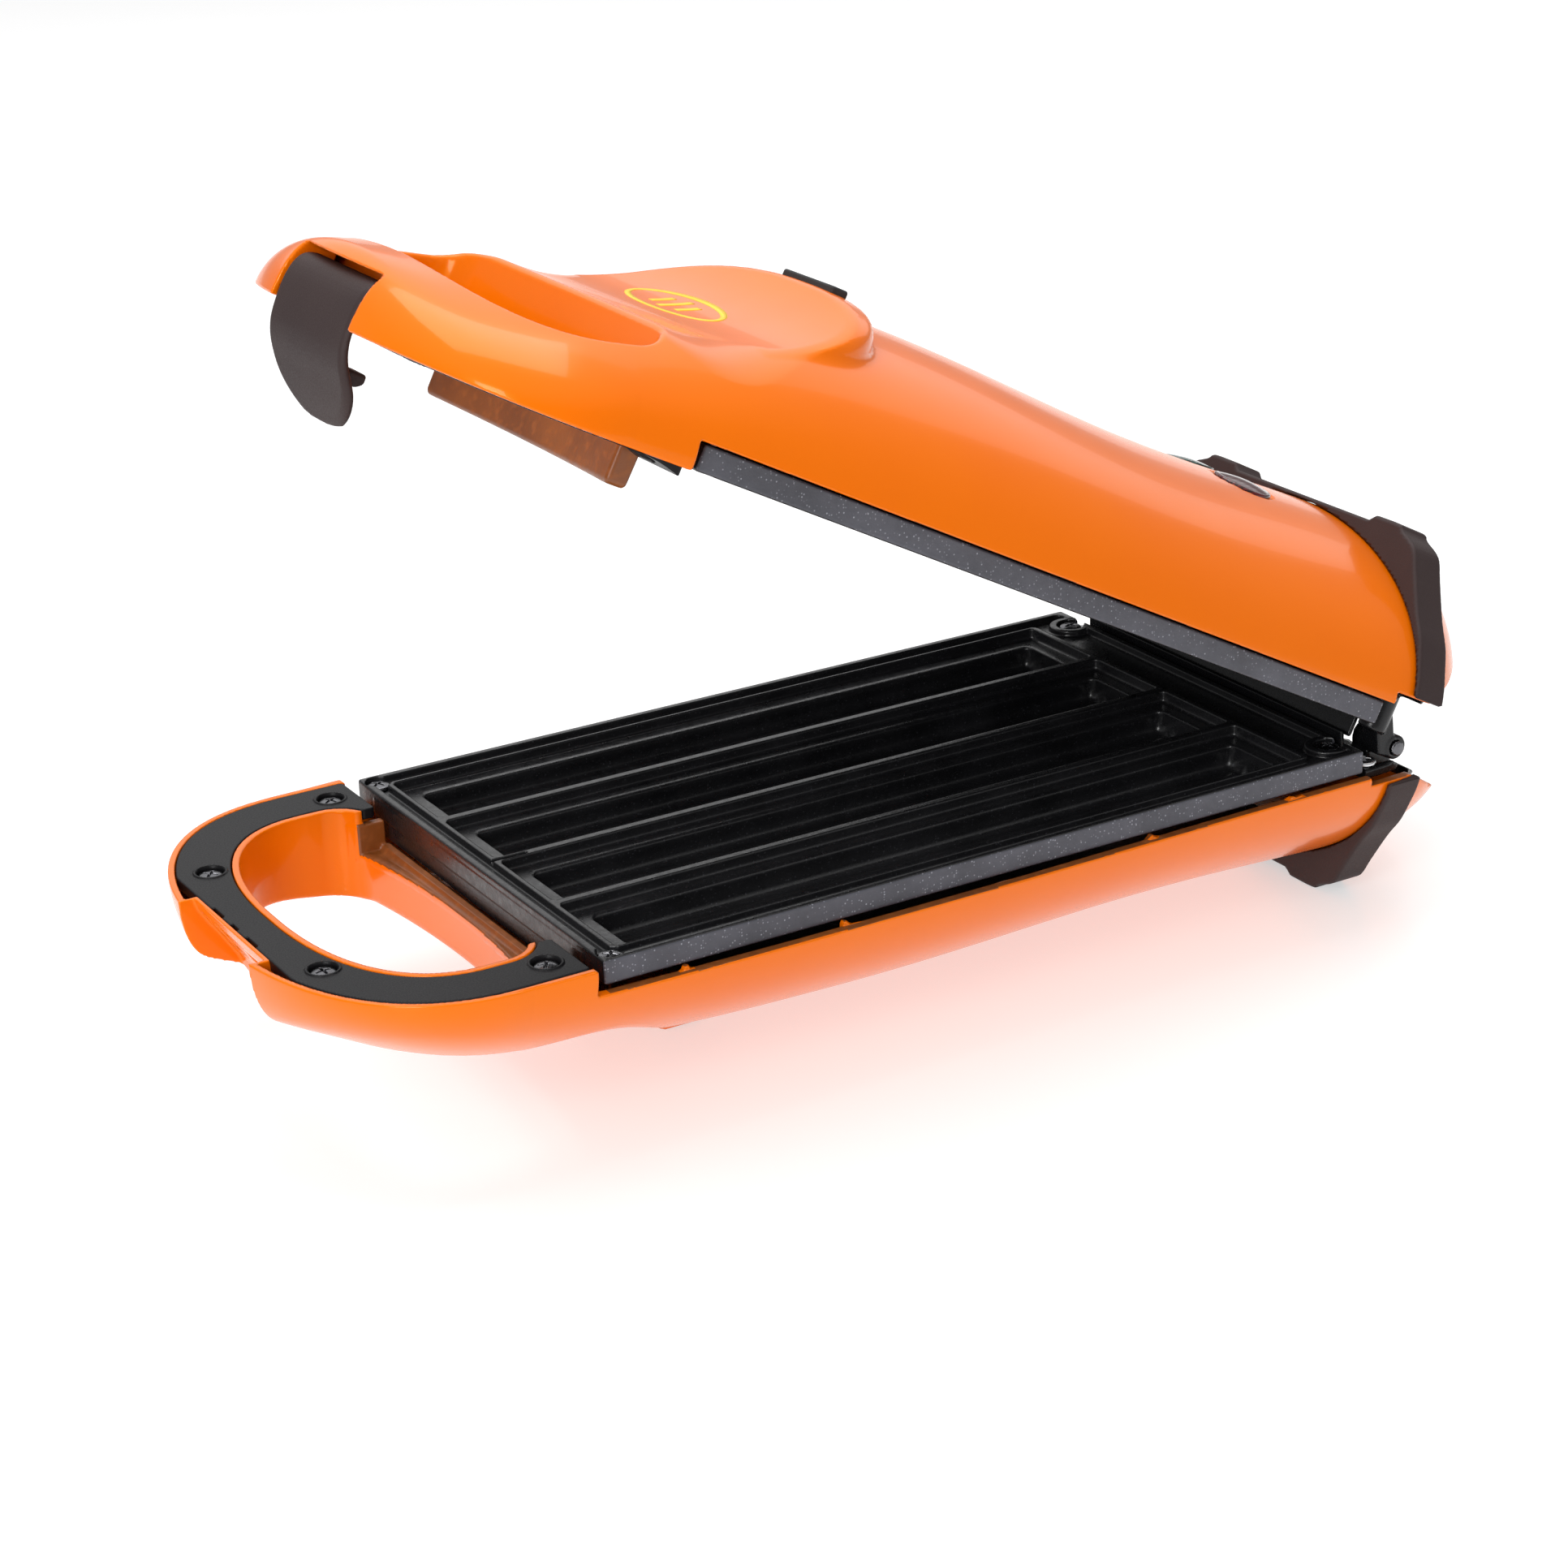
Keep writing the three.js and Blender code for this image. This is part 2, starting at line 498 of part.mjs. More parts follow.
function cordGland() {
  const flange = rod("x", 7.2, [0, 36], 264, 266.5, 16);
  return glandBody(5).add(flange).subtract(rod("x", 3.3, [0, 36], 255, 290, 12));
}

// ---- latch ----
// A curved lever hanging from a pin in the lid's tip, with a hook that goes under the lower half's rim.
function latchLever() {
  const side = new THREE.Shape();
  side.moveTo(-60.3, 10);
  side.lineTo(-61.5, 12);
  side.lineTo(-63.5, 13.2);
  side.quadraticCurveTo(-70, 12.2, -71, 3);
  side.quadraticCurveTo(-72.2, -4, -69.6, -10);
  side.quadraticCurveTo(-66.6, -17.4, -60.6, -22.6);
  side.lineTo(-58.8, -20.4);
  side.quadraticCurveTo(-64.6, -15.6, -66.6, -9.4);
  side.quadraticCurveTo(-69.4, -3, -68.6, 2);
  side.quadraticCurveTo(-67.8, 5, -66.4, 6.4);
  side.lineTo(-60.3, 6.4);
  const end = new THREE.Shape();
  const w = LATCH.halfWidth;
  end.moveTo(-w, 14);
  end.lineTo(-w, -9);
  end.bezierCurveTo(-w, -17, -13, -23, 0, -23);
  end.bezierCurveTo(13, -23, w, -17, w, -9);
  end.lineTo(w, 14);
  const lever = alongY(side, -w, w).intersect(alongX(end, -80, -50));
  const hooks = bothSides((s) => block(-69.4, -64.6, s > 0 ? 6 : -14, s > 0 ? 14 : -6, -11.4, -7.6));
  return joined(lever, ...hooks.map((h) => h.subtract(block(-80, -70, -20, 20, -20, 0))))
    .subtract(rod("y", LATCH.pin + 0.1, [LATCH.pinX, LATCH.pinZ], -30, 30, 12));
}

function latchSpring() {
  const strip = outline([[-58.9, 4.4], [-58.5, 4.4], [-58.5, 7], [-59.3, 12.6], [-59.8, 12.6], [-58.9, 7]]);
  return alongY(strip, -5, 5);
}

// ---- assembly ----
function halfMeshes(half) {
  const { name, insertFace } = half;
  const meshes = [
    piece(name + "_housing", housing(half), ORANGE),
    piece(name + "_grip_insert", gripInsert(half), SATIN_BLACK),
    piece(name + "_grill_plate", grillPlate(), NON_STICK),
    piece(name + "_heating_element", heatingElement(), STEEL),
    piece(name + "_heat_shield", heatShield(), ALUMINIUM),
    piece(name + "_thermostat", thermostat(), CERAMIC),
    piece(name + "_foot_arch", footArch(), MATTE_BROWN),
  ];
  const places = [[1, 1], [1, -1], [-1, 1], [-1, -1]];
  places.forEach(([rank, side], i) => {
    const [gx, gy] = GRIP_SCREWS[rank > 0 ? 0 : 1];
    const [px, py] = PLATE_SCREWS[rank > 0 ? 1 : 0];
    meshes.push(piece(name + "_grip_screw_" + (i + 1), screw(gx, side * gy, insertFace + 0.1), STEEL));
    meshes.push(piece(name + "_plate_screw_" + (i + 1), screw(px, side * py, PLATE.face + 0.1), STEEL));
  });
  return meshes;
}

const machine = new THREE.Group();
machine.position.set(-ORIGIN_X, 0, FOOT_HEIGHT);

const lowerHalf = new THREE.Group();
lowerHalf.scale.z = -1;
lowerHalf.add(
  ...halfMeshes(LOWER),
  piece("front_foot_pad", block(46, 56, -14, 14, 51.1, FOOT_HEIGHT), RUBBER),
  piece("hinge_block", hingeBlock(), SATIN_BLACK),
  piece("hinge_screw_near", screw(234.2, -65, DECK.height - 1.8), BRIGHT_STEEL),
  piece("hinge_screw_far", screw(234.2, 65, DECK.height - 1.8), BRIGHT_STEEL),
  piece("terminal_block", block(246, 260, -12, 12, 24, 32), CERAMIC),
  piece("cord_gland", cordGland(), RUBBER),
);

const lid = new THREE.Group();
lid.position.set(HINGE.x, 0, HINGE.z);
lid.rotation.y = THREE.MathUtils.degToRad(LID_OPEN_DEG);
const upperHalf = new THREE.Group();
upperHalf.position.set(-HINGE.x, 0, -HINGE.z);
upperHalf.add(
  ...halfMeshes(UPPER),
  piece("top_rest_pad", block(55.2, 60.4, -12, 12, 51.1, FOOT_HEIGHT), RUBBER),
  piece("rear_cover", rearCover(), SATIN_BLACK),
  piece("red_lamp_lens", rod("z", LAMP.lens, [LAMP.x, -LAMP.y], 43, 48.2, 20), RED_LENS),
  piece("green_lamp_lens", rod("z", LAMP.lens, [LAMP.x, LAMP.y], 43, 48.2, 20), GREEN_LENS),
  piece("red_lamp", rod("z", LAMP.bulb, [LAMP.x, -LAMP.y], 31, 42, 12), RED_LENS),
  piece("green_lamp", rod("z", LAMP.bulb, [LAMP.x, LAMP.y], 31, 42, 12), GREEN_LENS),
  piece("thermal_fuse", rod("x", 2, [0, 21.5], 142, 156, 12), CERAMIC),
  piece("hinge_leg_near", hingeLeg(-1), SATIN_BLACK),
  piece("hinge_leg_far", hingeLeg(1), SATIN_BLACK),
  piece("latch_pin", rod("y", LATCH.pin, [LATCH.pinX, LATCH.pinZ], -24.8, 24.8, 12), BRIGHT_STEEL),
  piece("latch_spring", latchSpring(), BRIGHT_STEEL),
  piece("latch", latchLever(), MATTE_BROWN),
);
lid.add(upperHalf);

machine.add(lowerHalf, lid, piece("hinge_pin_near", hingePin(-1), STEEL), piece("hinge_pin_far", hingePin(1), STEEL));

const part = new THREE.Group();
part.add(machine);

export default part;
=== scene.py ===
"""The looks of the churro maker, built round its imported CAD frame.

Shapes are written in millimetres in a "half frame": x = 0 at the front edge of the grill plate, y = 0 on the
centre plane, z = 0 where the plates meet and z growing outwards into the housing. The lower half is that
drawing mirrored in z, the lid is the same drawing turned about the hinge.
"""
import math
import random
from concurrent.futures import ThreadPoolExecutor

import bmesh
import bpy
import numpy as np
from mathutils import Matrix, Vector


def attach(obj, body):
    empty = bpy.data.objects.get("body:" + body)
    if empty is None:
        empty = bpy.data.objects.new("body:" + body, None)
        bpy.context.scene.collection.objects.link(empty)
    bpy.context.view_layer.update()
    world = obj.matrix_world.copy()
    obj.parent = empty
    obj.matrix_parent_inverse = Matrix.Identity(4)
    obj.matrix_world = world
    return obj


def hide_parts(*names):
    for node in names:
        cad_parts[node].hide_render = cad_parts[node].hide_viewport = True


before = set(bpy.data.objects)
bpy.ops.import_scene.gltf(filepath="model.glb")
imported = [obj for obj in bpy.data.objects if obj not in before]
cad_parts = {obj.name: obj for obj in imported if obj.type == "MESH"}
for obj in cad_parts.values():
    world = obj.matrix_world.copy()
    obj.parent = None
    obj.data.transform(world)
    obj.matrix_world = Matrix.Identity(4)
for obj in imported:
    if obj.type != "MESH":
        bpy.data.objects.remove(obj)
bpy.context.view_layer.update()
COARSE = 1.0
SCREW_SEED = 7
chance = random.Random(SCREW_SEED)

# ---- placing the half frame in the row's frame ----
ORIGIN_X = 51.0
FOOT = 52.5  # height of the base's parting plane above the floor
HINGE_X, HINGE_Z = 244.4, -3.84
OPEN_ANGLE = math.radians(28)


def place(p, half):
    """Half-frame points in mm as row points in metres."""
    x, y, z = p[:, 0], p[:, 1], p[:, 2]
    if half == "lower":
        rows = np.stack([x, y, -z], 1)
    else:
        c, s = math.cos(OPEN_ANGLE), math.sin(OPEN_ANGLE)
        rx, rz = x - HINGE_X, z - HINGE_Z
        rows = np.stack([HINGE_X + rx * c + rz * s, y, HINGE_Z - rx * s + rz * c], 1)
    return (rows + np.array([-ORIGIN_X, 0, FOOT])) / 1000


def turn(n, half):
    """Half-frame directions in the row's frame."""
    x, y, z = n[:, 0], n[:, 1], n[:, 2]
    if half == "lower":
        return np.stack([x, y, -z], 1)
    c, s = math.cos(OPEN_ANGLE), math.sin(OPEN_ANGLE)
    return np.stack([x * c + z * s, y, -x * s + z * c], 1)


# ---- rounded joins of distance fields ----
def rmax(a, b, r):
    """What two fields have in common, with its edge rounded to radius r."""
    return np.minimum(np.maximum(a, b), -r) + np.hypot(np.maximum(a + r, 0), np.maximum(b + r, 0))


def rmin(a, b, r):
    """Two fields joined, with a fillet of radius r between them."""
    return -rmax(-a, -b, r)


def cut(a, b, r):
    """Field a without field b."""
    return rmax(a, -b, r)


def box(x, y, z, x0, x1, y0, y1, z0, z1, r):
    """A block with rounded edges."""
    ax = np.abs(x - (x0 + x1) / 2) - (x1 - x0) / 2 + r
    ay = np.abs(y - (y0 + y1) / 2) - (y1 - y0) / 2 + r
    az = np.abs(z - (z0 + z1) / 2) - (z1 - z0) / 2 + r
    out = np.sqrt(np.maximum(ax, 0) ** 2 + np.maximum(ay, 0) ** 2 + np.maximum(az, 0) ** 2)
    return out + np.minimum(np.maximum(np.maximum(ax, ay), az), 0) - r


def pane(u, v, u0, u1, v0, v1, r):
    """A rectangle with rounded corners, in the plane of u and v."""
    au = np.abs(u - (u0 + u1) / 2) - (u1 - u0) / 2 + r
    av = np.abs(v - (v0 + v1) / 2) - (v1 - v0) / 2 + r
    return np.hypot(np.maximum(au, 0), np.maximum(av, 0)) + np.minimum(np.maximum(au, av), 0) - r


def polygon(u, v, points):
    """Signed distance to a closed outline of straight lines, in the plane of u and v."""
    u, v = np.broadcast_arrays(u, v)
    best = np.full(u.shape, 1e9)
    inside = np.zeros(u.shape, bool)
    for (u0, v0), (u1, v1) in zip(points, points[1:] + points[:1]):
        du, dv = u1 - u0, v1 - v0
        t = np.clip(((u - u0) * du + (v - v0) * dv) / (du * du + dv * dv), 0, 1)
        best = np.minimum(best, (u - u0 - t * du) ** 2 + (v - v0 - t * dv) ** 2)
        if v0 != v1:
            inside ^= ((v0 > v) != (v1 > v)) & (u < du * (v - v0) / dv + u0)
    best = np.sqrt(best)
    return np.where(inside, -best, best)


def disc(u, v, cu, cv, radius):
    """Distance to a circle in the plane of u and v."""
    return np.hypot(u - cu, v - cv) - radius


def spline(knots):
    """A smooth curve through (x, value) pairs."""
    kx, ky = (np.array(c, float) for c in zip(*knots))
    n = len(kx)
    h = np.diff(kx)
    a = np.zeros((n, n))
    b = np.zeros(n)
    a[0, 0] = a[-1, -1] = 1
    for i in range(1, n - 1):
        a[i, i - 1], a[i, i], a[i, i + 1] = h[i - 1], 2 * (h[i - 1] + h[i]), h[i]
        b[i] = 6 * ((ky[i + 1] - ky[i]) / h[i] - (ky[i] - ky[i - 1]) / h[i - 1])
    m = np.linalg.solve(a, b)

    def value(x):
        x = np.clip(x, kx[0], kx[-1])
        i = np.clip(np.searchsorted(kx, x) - 1, 0, n - 2)
        l, r = (kx[i + 1] - x) / h[i], (x - kx[i]) / h[i]
        return l * ky[i] + r * ky[i + 1] + ((l ** 3 - l) * m[i] + (r ** 3 - r) * m[i + 1]) * h[i] ** 2 / 6

    return value


def curve_points(knots, steps=6):
    """A smooth line through outline points, as a denser list of points."""
    u, v = (spline(list(enumerate(values))) for values in zip(*knots))
    t = np.linspace(0, len(knots) - 1, (len(knots) - 1) * steps + 1)
    return list(zip(u(t).tolist(), v(t).tolist()))


# ---- meshing a distance field ----
AROUND = {0: (1, 2), 1: (2, 0), 2: (0, 1)}
OFF_GRID = 0.0137  # keeps flat faces away from the grid lines
WORKERS = 4
POINTS_AT_ONCE = 16000
VALUES_AT_ONCE = 1.2e5
TETRA = np.array([[1, -1, -1], [-1, -1, 1], [-1, 1, -1], [1, 1, 1]], float)
PROBE_REACH = 0.03


def lines(start, *spans):
    """Grid lines from `start`, laid out as (end, step) spans."""
    out = []
    at = start
    for end, step in spans:
        count = max(1, round((end - at) / (step * COARSE)))
        out.append(np.linspace(at, end, count, endpoint=False))
        at = end
    return np.concatenate(out + [[at]]) + OFF_GRID


def each(f, chunks):
    """f of every chunk, in order, a few at a time."""
    with ThreadPoolExecutor(WORKERS) as pool:
        return list(pool.map(f, chunks))


def at_points(f, p):
    """The field's values at points."""
    chunks = np.array_split(p, len(p) // POINTS_AT_ONCE + 1)
    return np.concatenate(each(lambda c: f(c[:, 0], c[:, 1], c[:, 2]), chunks))


def probe(f, p):
    """The field's value and slope at points, from four samples round each."""
    got = [at_points(f, p + PROBE_REACH * k) for k in TETRA]
    return sum(got) / 4, sum(g[:, None] * k for g, k in zip(got, TETRA)) / (4 * PROBE_REACH)


def settle(f, p, reach, rounds=3):
    """Points moved on to the surface, with the field's directions there."""
    for _ in range(rounds):
        value, g = probe(f, p)
        move = -(value / np.maximum((g ** 2).sum(1), 1e-3))[:, None] * g
        length = np.linalg.norm(move, axis=1, keepdims=True)
        p = p + move * np.minimum(1, reach / np.maximum(length, 1e-9))
    g = probe(f, p)[1]
    return p, g / np.maximum(np.linalg.norm(g, axis=1, keepdims=True), 1e-9)


def nets(f, *axes):
    """Surface nets on f(x, y, z) < 0, settled on the surface, with the field's own normals."""
    shape = [len(a) for a in axes]
    slab = max(1, int(VALUES_AT_ONCE / (shape[1] * shape[2])))
    starts = range(0, shape[0], slab)
    parts = each(lambda i: np.broadcast_to(
        f(axes[0][i:i + slab, None, None], axes[1][None, :, None], axes[2][None, None, :]),
        (len(axes[0][i:i + slab]), *shape[1:])), starts)
    values = np.concatenate(parts).astype(np.float32)
    inside = values < 0
    corners = [inside[i:shape[0] - 1 + i, j:shape[1] - 1 + j, k:shape[2] - 1 + k]
               for i in (0, 1) for j in (0, 1) for k in (0, 1)]
    total = sum(c.astype(np.int8) for c in corners)
    cells = np.argwhere((total > 0) & (total < 8))
    index = np.full([n - 1 for n in shape], -1, np.int32)
    index[tuple(cells.T)] = np.arange(len(cells))
    sums = np.zeros((len(cells), 3))
    counts = np.zeros(len(cells))
    for axis in range(3):
        u, v = AROUND[axis]
        for a in (0, 1):
            for b in (0, 1):
                start = cells.copy()
                start[:, u] += a
                start[:, v] += b
                end = start.copy()
                end[:, axis] += 1
                f0, f1 = values[tuple(start.T)], values[tuple(end.T)]
                hit = (f0 < 0) != (f1 < 0)
                at = start[hit].astype(float)
                at[:, axis] += f0[hit] / (f0[hit] - f1[hit])
                sums[hit] += at
                counts[hit] += 1
    sums /= counts[:, None]
    points = np.stack([np.interp(sums[:, k], np.arange(shape[k]), axes[k]) for k in range(3)], 1)
    quads = []
    for axis in range(3):
        u, v = AROUND[axis]
        low = [slice(1, -1)] * 3
        low[axis] = slice(0, -1)
        high = list(low)
        high[axis] = slice(1, None)
        first, second = inside[tuple(low)], inside[tuple(high)]
        for flip, mask in ((False, first & ~second), (True, ~first & second)):
            at = np.argwhere(mask)
            at[:, u] += 1
            at[:, v] += 1
            ring = []
            for a, b in ((-1, -1), (0, -1), (0, 0), (-1, 0)):
                cell = at.copy()
                cell[:, u] += a
                cell[:, v] += b
                ring.append(index[tuple(cell.T)])
            ring = np.stack(ring, 1)
            quads.append(ring[:, ::-1] if flip else ring)
    points, normals = settle(f, points, 0.3 * min(np.diff(a).min() for a in axes))
    return points, np.concatenate(quads), normals


def add_mesh(name, half, points, faces, normals=None, materials=(), index=None, body=None):
    """A mesh from half-frame points. The lower half is mirrored, so its faces are turned round."""
    faces = np.asarray(faces)
    if half == "lower":
        faces = faces[:, ::-1]
    mesh = bpy.data.meshes.new(name)
    mesh.from_pydata(place(np.asarray(points, float), half).tolist(), [], faces.tolist())
    for m in materials:
        mesh.materials.append(m)
    if index is not None:
        mesh.polygons.foreach_set("material_index", np.asarray(index, np.int32))
    mesh.polygons.foreach_set("use_smooth", np.ones(len(mesh.polygons), bool))
    mesh.update()
    if normals is not None:
        mesh.normals_split_custom_set_from_vertices(turn(normals, half).tolist())
    obj = bpy.data.objects.new(name, mesh)
    bpy.context.scene.collection.objects.link(obj)
    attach(obj, body or ("base" if half == "lower" else "lid"))
    return obj


def fitted(obj, slot, *nodes):
    """Hides the CAD nodes that a piece stands for; slot, the name of its finish, is not used."""
    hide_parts(*nodes)
    return obj


# ---- procedural materials ----
class Paint:
    """A Principled material with a few chained node helpers. Texture space is the piece's own, in metres."""

    def __init__(self, name, color, roughness=0.5, metallic=0.0, **sockets):
        self.material = bpy.data.materials.new(name)
        self.material.use_nodes = True
        self.tree = self.material.node_tree
        self.shader = self.tree.nodes["Principled BSDF"]
        self.shader.inputs["Base Color"].default_value = (*color, 1)
        self.shader.inputs["Roughness"].default_value = roughness
        self.shader.inputs["Metallic"].default_value = metallic
        for key, value in sockets.items():
            self.shader.inputs[key.replace("_", " ")].default_value = value
        self.space = self.tree.nodes.new("ShaderNodeTexCoord").outputs["Object"]
        self.normal = None

    def node(self, kind, inputs=(), **settings):
        made = self.tree.nodes.new(kind)
        for key, value in settings.items():
            setattr(made, key, value)
        for key, value in dict(inputs).items():
            if hasattr(value, "links"):
                self.tree.links.new(value, made.inputs[key])
            else:
                made.inputs[key].default_value = value
        return made

    def noise(self, scale, detail=4.0, stretch=(1, 1, 1)):
        """A cloudy value from 0 to 1; scale is in features per metre."""
        mapped = self.node("ShaderNodeMapping", {"Vector": self.space, "Scale": stretch}).outputs["Vector"]
        inputs = {"Vector": mapped, "Scale": scale, "Detail": detail}
        return self.node("ShaderNodeTexNoise", inputs).outputs["Fac"]

    def cells(self, scale):
        """The distance to the nearest of many scattered points, and a random colour for each."""
        found = self.node("ShaderNodeTexVoronoi", {"Vector": self.space, "Scale": scale})
        return found.outputs["Distance"], found.outputs["Color"]

    def ramp(self, value, *stops):
        """Colours or greys along a value, as (position, colour) stops."""
        made = self.node("ShaderNodeValToRGB", {"Fac": value})
        ramp = made.color_ramp
        while len(ramp.elements) < len(stops):
            ramp.elements.new(0.5)
        for element, (at, color) in zip(ramp.elements, stops):
            element.position = at
            element.color = (*color, 1) if isinstance(color, tuple) else (color, color, color, 1)
        return made.outputs["Color"]

    def mix(self, fac, a, b, kind="MIX"):
        """Colour a with b over it, by a number or a value from 0 to 1."""
        made = self.node("ShaderNodeMix", data_type="RGBA", blend_type=kind)
        for key, value in ((0, fac), (6, a), (7, b)):
            if hasattr(value, "links"):
                self.tree.links.new(value, made.inputs[key])
            else:
                made.inputs[key].default_value = value if key == 0 else (*value, 1)
        return made.outputs[2]

    def color(self, value):
        self.tree.links.new(value, self.shader.inputs["Base Color"])
        return self

    def rough(self, value):
        self.tree.links.new(value, self.shader.inputs["Roughness"])
        return self

    def bump(self, height, strength, distance):
        """Adds a bump to those already there; distance is in metres."""
        inputs = {"Height": height, "Strength": strength, "Distance": distance}
        if self.normal is not None:
            inputs["Normal"] = self.normal
        self.normal = self.node("ShaderNodeBump", inputs).outputs["Normal"]
        self.tree.links.new(self.normal, self.shader.inputs["Normal"])
        return self


def gloss_plastic(name, deep, bright, shine, roughness=0.22):
    """Smooth moulded plastic whose reflections take the colour of `shine`."""
    p = Paint(name, bright, roughness, Coat_Weight=0.25, Coat_Roughness=0.04, Specular_Tint=(*shine, 1))
    p.color(p.mix(p.noise(22, 3), deep, bright))
    p.rough(p.ramp(p.noise(60, 2), (0.3, roughness * 0.9), (0.75, roughness * 1.15)))
    p.bump(p.noise(150, 1), 0.02, 0.00005)
    return p.material


def grained(name, dark, light, roughness, grain, depth, fleck=1.0, **sockets):
    """A moulded or coated surface with an even fine grain and lighter flecks."""
    p = Paint(name, light, roughness, **sockets)
    spots = p.noise(grain, 3)
    cloud = p.noise(35, 4)
    base = p.mix(p.ramp(cloud, (0.3, 0.0), (0.7, 1.0)), dark, light)
    pale = tuple(min(1, c * 2.2) for c in light)
    p.color(p.mix(p.ramp(spots, (0.5, 0.0), (0.8, 0.25 * fleck)), base, pale))
    p.rough(p.ramp(spots, (0.3, max(0.05, roughness - 0.08)), (0.7, min(1, roughness + 0.1))))
    p.bump(spots, 0.35, depth)
    return p.material


def cast_coat(name, dark, light, spark, roughness, amount):
    """A dark non-stick coat on cast aluminium, pebbled and with small pale flecks."""
    p = Paint(name, light, roughness, 0.15, Coat_Weight=0.25, Coat_Roughness=0.2)
    distance, tint = p.cells(1500)
    cloud = p.noise(60, 5)
    base = p.mix(p.ramp(cloud, (0.3, 0.0), (0.7, 1.0)), dark, light)
    luck = p.node("ShaderNodeSeparateColor", {"Color": tint}).outputs["Red"]
    pick = p.ramp(luck, (0.72, 0.0), (0.95, amount))
    flecks = p.mix(1.0, pick, p.ramp(distance, (0.12, 1.0), (0.42, 0.0)), "MULTIPLY")
    p.color(p.mix(flecks, base, spark))
    p.rough(p.ramp(p.noise(500, 3), (0.3, roughness - 0.08), (0.7, roughness + 0.12)))
    p.bump(distance, 0.3, 0.00012)
    p.bump(p.noise(700, 4), 0.35, 0.00015)
    return p.material


def metal(name, dark, light, roughness, streak=(1, 1, 30)):
    """Bare metal with fine streaks; `streak` is how much denser the pattern is along x, y and z."""
    p = Paint(name, light, roughness, 1.0)
    streaks = p.noise(900, 3, streak)
    p.color(p.mix(p.noise(120, 4), dark, light))
    p.rough(p.ramp(streaks, (0.3, roughness * 0.7), (0.7, roughness * 1.5)))
    p.bump(streaks, 0.12, 0.00005)
    return p.material


def lens_plastic(name, dark, light):
    """Dark tinted plastic with fine ribs across it."""
    p = Paint(name, light, 0.12, Coat_Weight=0.3, Coat_Roughness=0.05)
    wave = {"Vector": p.space, "Scale": 260.0, "Distortion": 0.3}
    ribs = p.node("ShaderNodeTexWave", wave, bands_direction="Y").outputs["Fac"]
    p.color(p.mix(p.ramp(ribs, (0.3, 0.0), (0.7, 1.0)), dark, light))
    p.rough(p.ramp(p.noise(300, 3), (0.3, 0.04), (0.7, 0.1)))
    p.bump(ribs, 0.15, 0.0001)
    return p.material


ORANGE = gloss_plastic("orange_gloss", (0.86, 0.150, 0.0), (0.91, 0.178, 0.0), (1.0, 0.55, 0.12))
# a dark brownish orange that paints the shade on the faces between the two halves
SHADED_ORANGE = grained("orange_painted_shade", (0.16, 0.045, 0.010), (0.28, 0.080, 0.012), 0.38, 420, 0.0001)
BLACK = grained("black_satin", (0.004, 0.004, 0.005), (0.008, 0.007, 0.008), 0.4, 2600, 0.00006, 0.3,
                Specular_IOR_Level=0.2)
GLOSS_BLACK = grained("black_gloss", (0.004, 0.004, 0.005), (0.008, 0.008, 0.009), 0.25, 1500, 0.00004, 0.3,
                      Specular_IOR_Level=0.35)
BROWN = grained("brown_black_matte", (0.030, 0.017, 0.017), (0.038, 0.023, 0.022), 0.6, 3000, 0.00008, 0.4,
                Specular_IOR_Level=0.3)
SPECKLED = cast_coat("cast_speckled", (0.050, 0.050, 0.062), (0.085, 0.085, 0.105), (0.45, 0.46, 0.52),
                     0.5, 0.7)
COATED = cast_coat("cast_coated", (0.007, 0.007, 0.008), (0.016, 0.016, 0.018), (0.13, 0.13, 0.15),
                   0.32, 0.35)
RUBBER = grained("rubber_matte", (0.010, 0.010, 0.011), (0.02, 0.02, 0.021), 0.75, 1800, 0.0001, 0.5)
DARK_STEEL = metal("blackened_screw", (0.09, 0.09, 0.1), (0.2, 0.2, 0.21), 0.22)
BRIGHT_STEEL = metal("zinc_steel", (0.55, 0.55, 0.56), (0.8, 0.8, 0.82), 0.2)
SHEATH = metal("element_sheath", (0.10, 0.09, 0.08), (0.22, 0.2, 0.18), 0.5)
SHEET = metal("mill_sheet", (0.6, 0.61, 0.62), (0.78, 0.78, 0.8), 0.35, (1, 25, 1))
CERAMIC = grained("ceramic", (0.55, 0.5, 0.42), (0.68, 0.64, 0.55), 0.7, 900, 0.0001)
RED = lens_plastic("red_lens", (0.02, 0.001, 0.002), (0.09, 0.003, 0.006))
GREEN = lens_plastic("green_lens", (0.001, 0.014, 0.012), (0.004, 0.06, 0.05))
YELLOW = grained("yellow_print", (0.86, 0.55, 0.0), (0.93, 0.66, 0.003), 0.35, 800, 0.00003, 0.2)

# the pieces inside the halves stay as the CAD has them; all others are drawn anew below
INSIDE = {
    "heating_element": SHEATH,
    "heat_shield": SHEET,
    "thermostat": CERAMIC,
    "thermal_fuse": CERAMIC,
    "terminal_block": CERAMIC,
    "red_lamp": RED,
    "green_lamp": GREEN,
    "latch_pin": BRIGHT_STEEL,
    "latch_spring": BRIGHT_STEEL,
}
for name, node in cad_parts.items():
    finish = INSIDE.get(name.removeprefix("lower_").removeprefix("upper_"), BLACK)
    node.data.materials.clear()
    node.data.materials.append(finish)

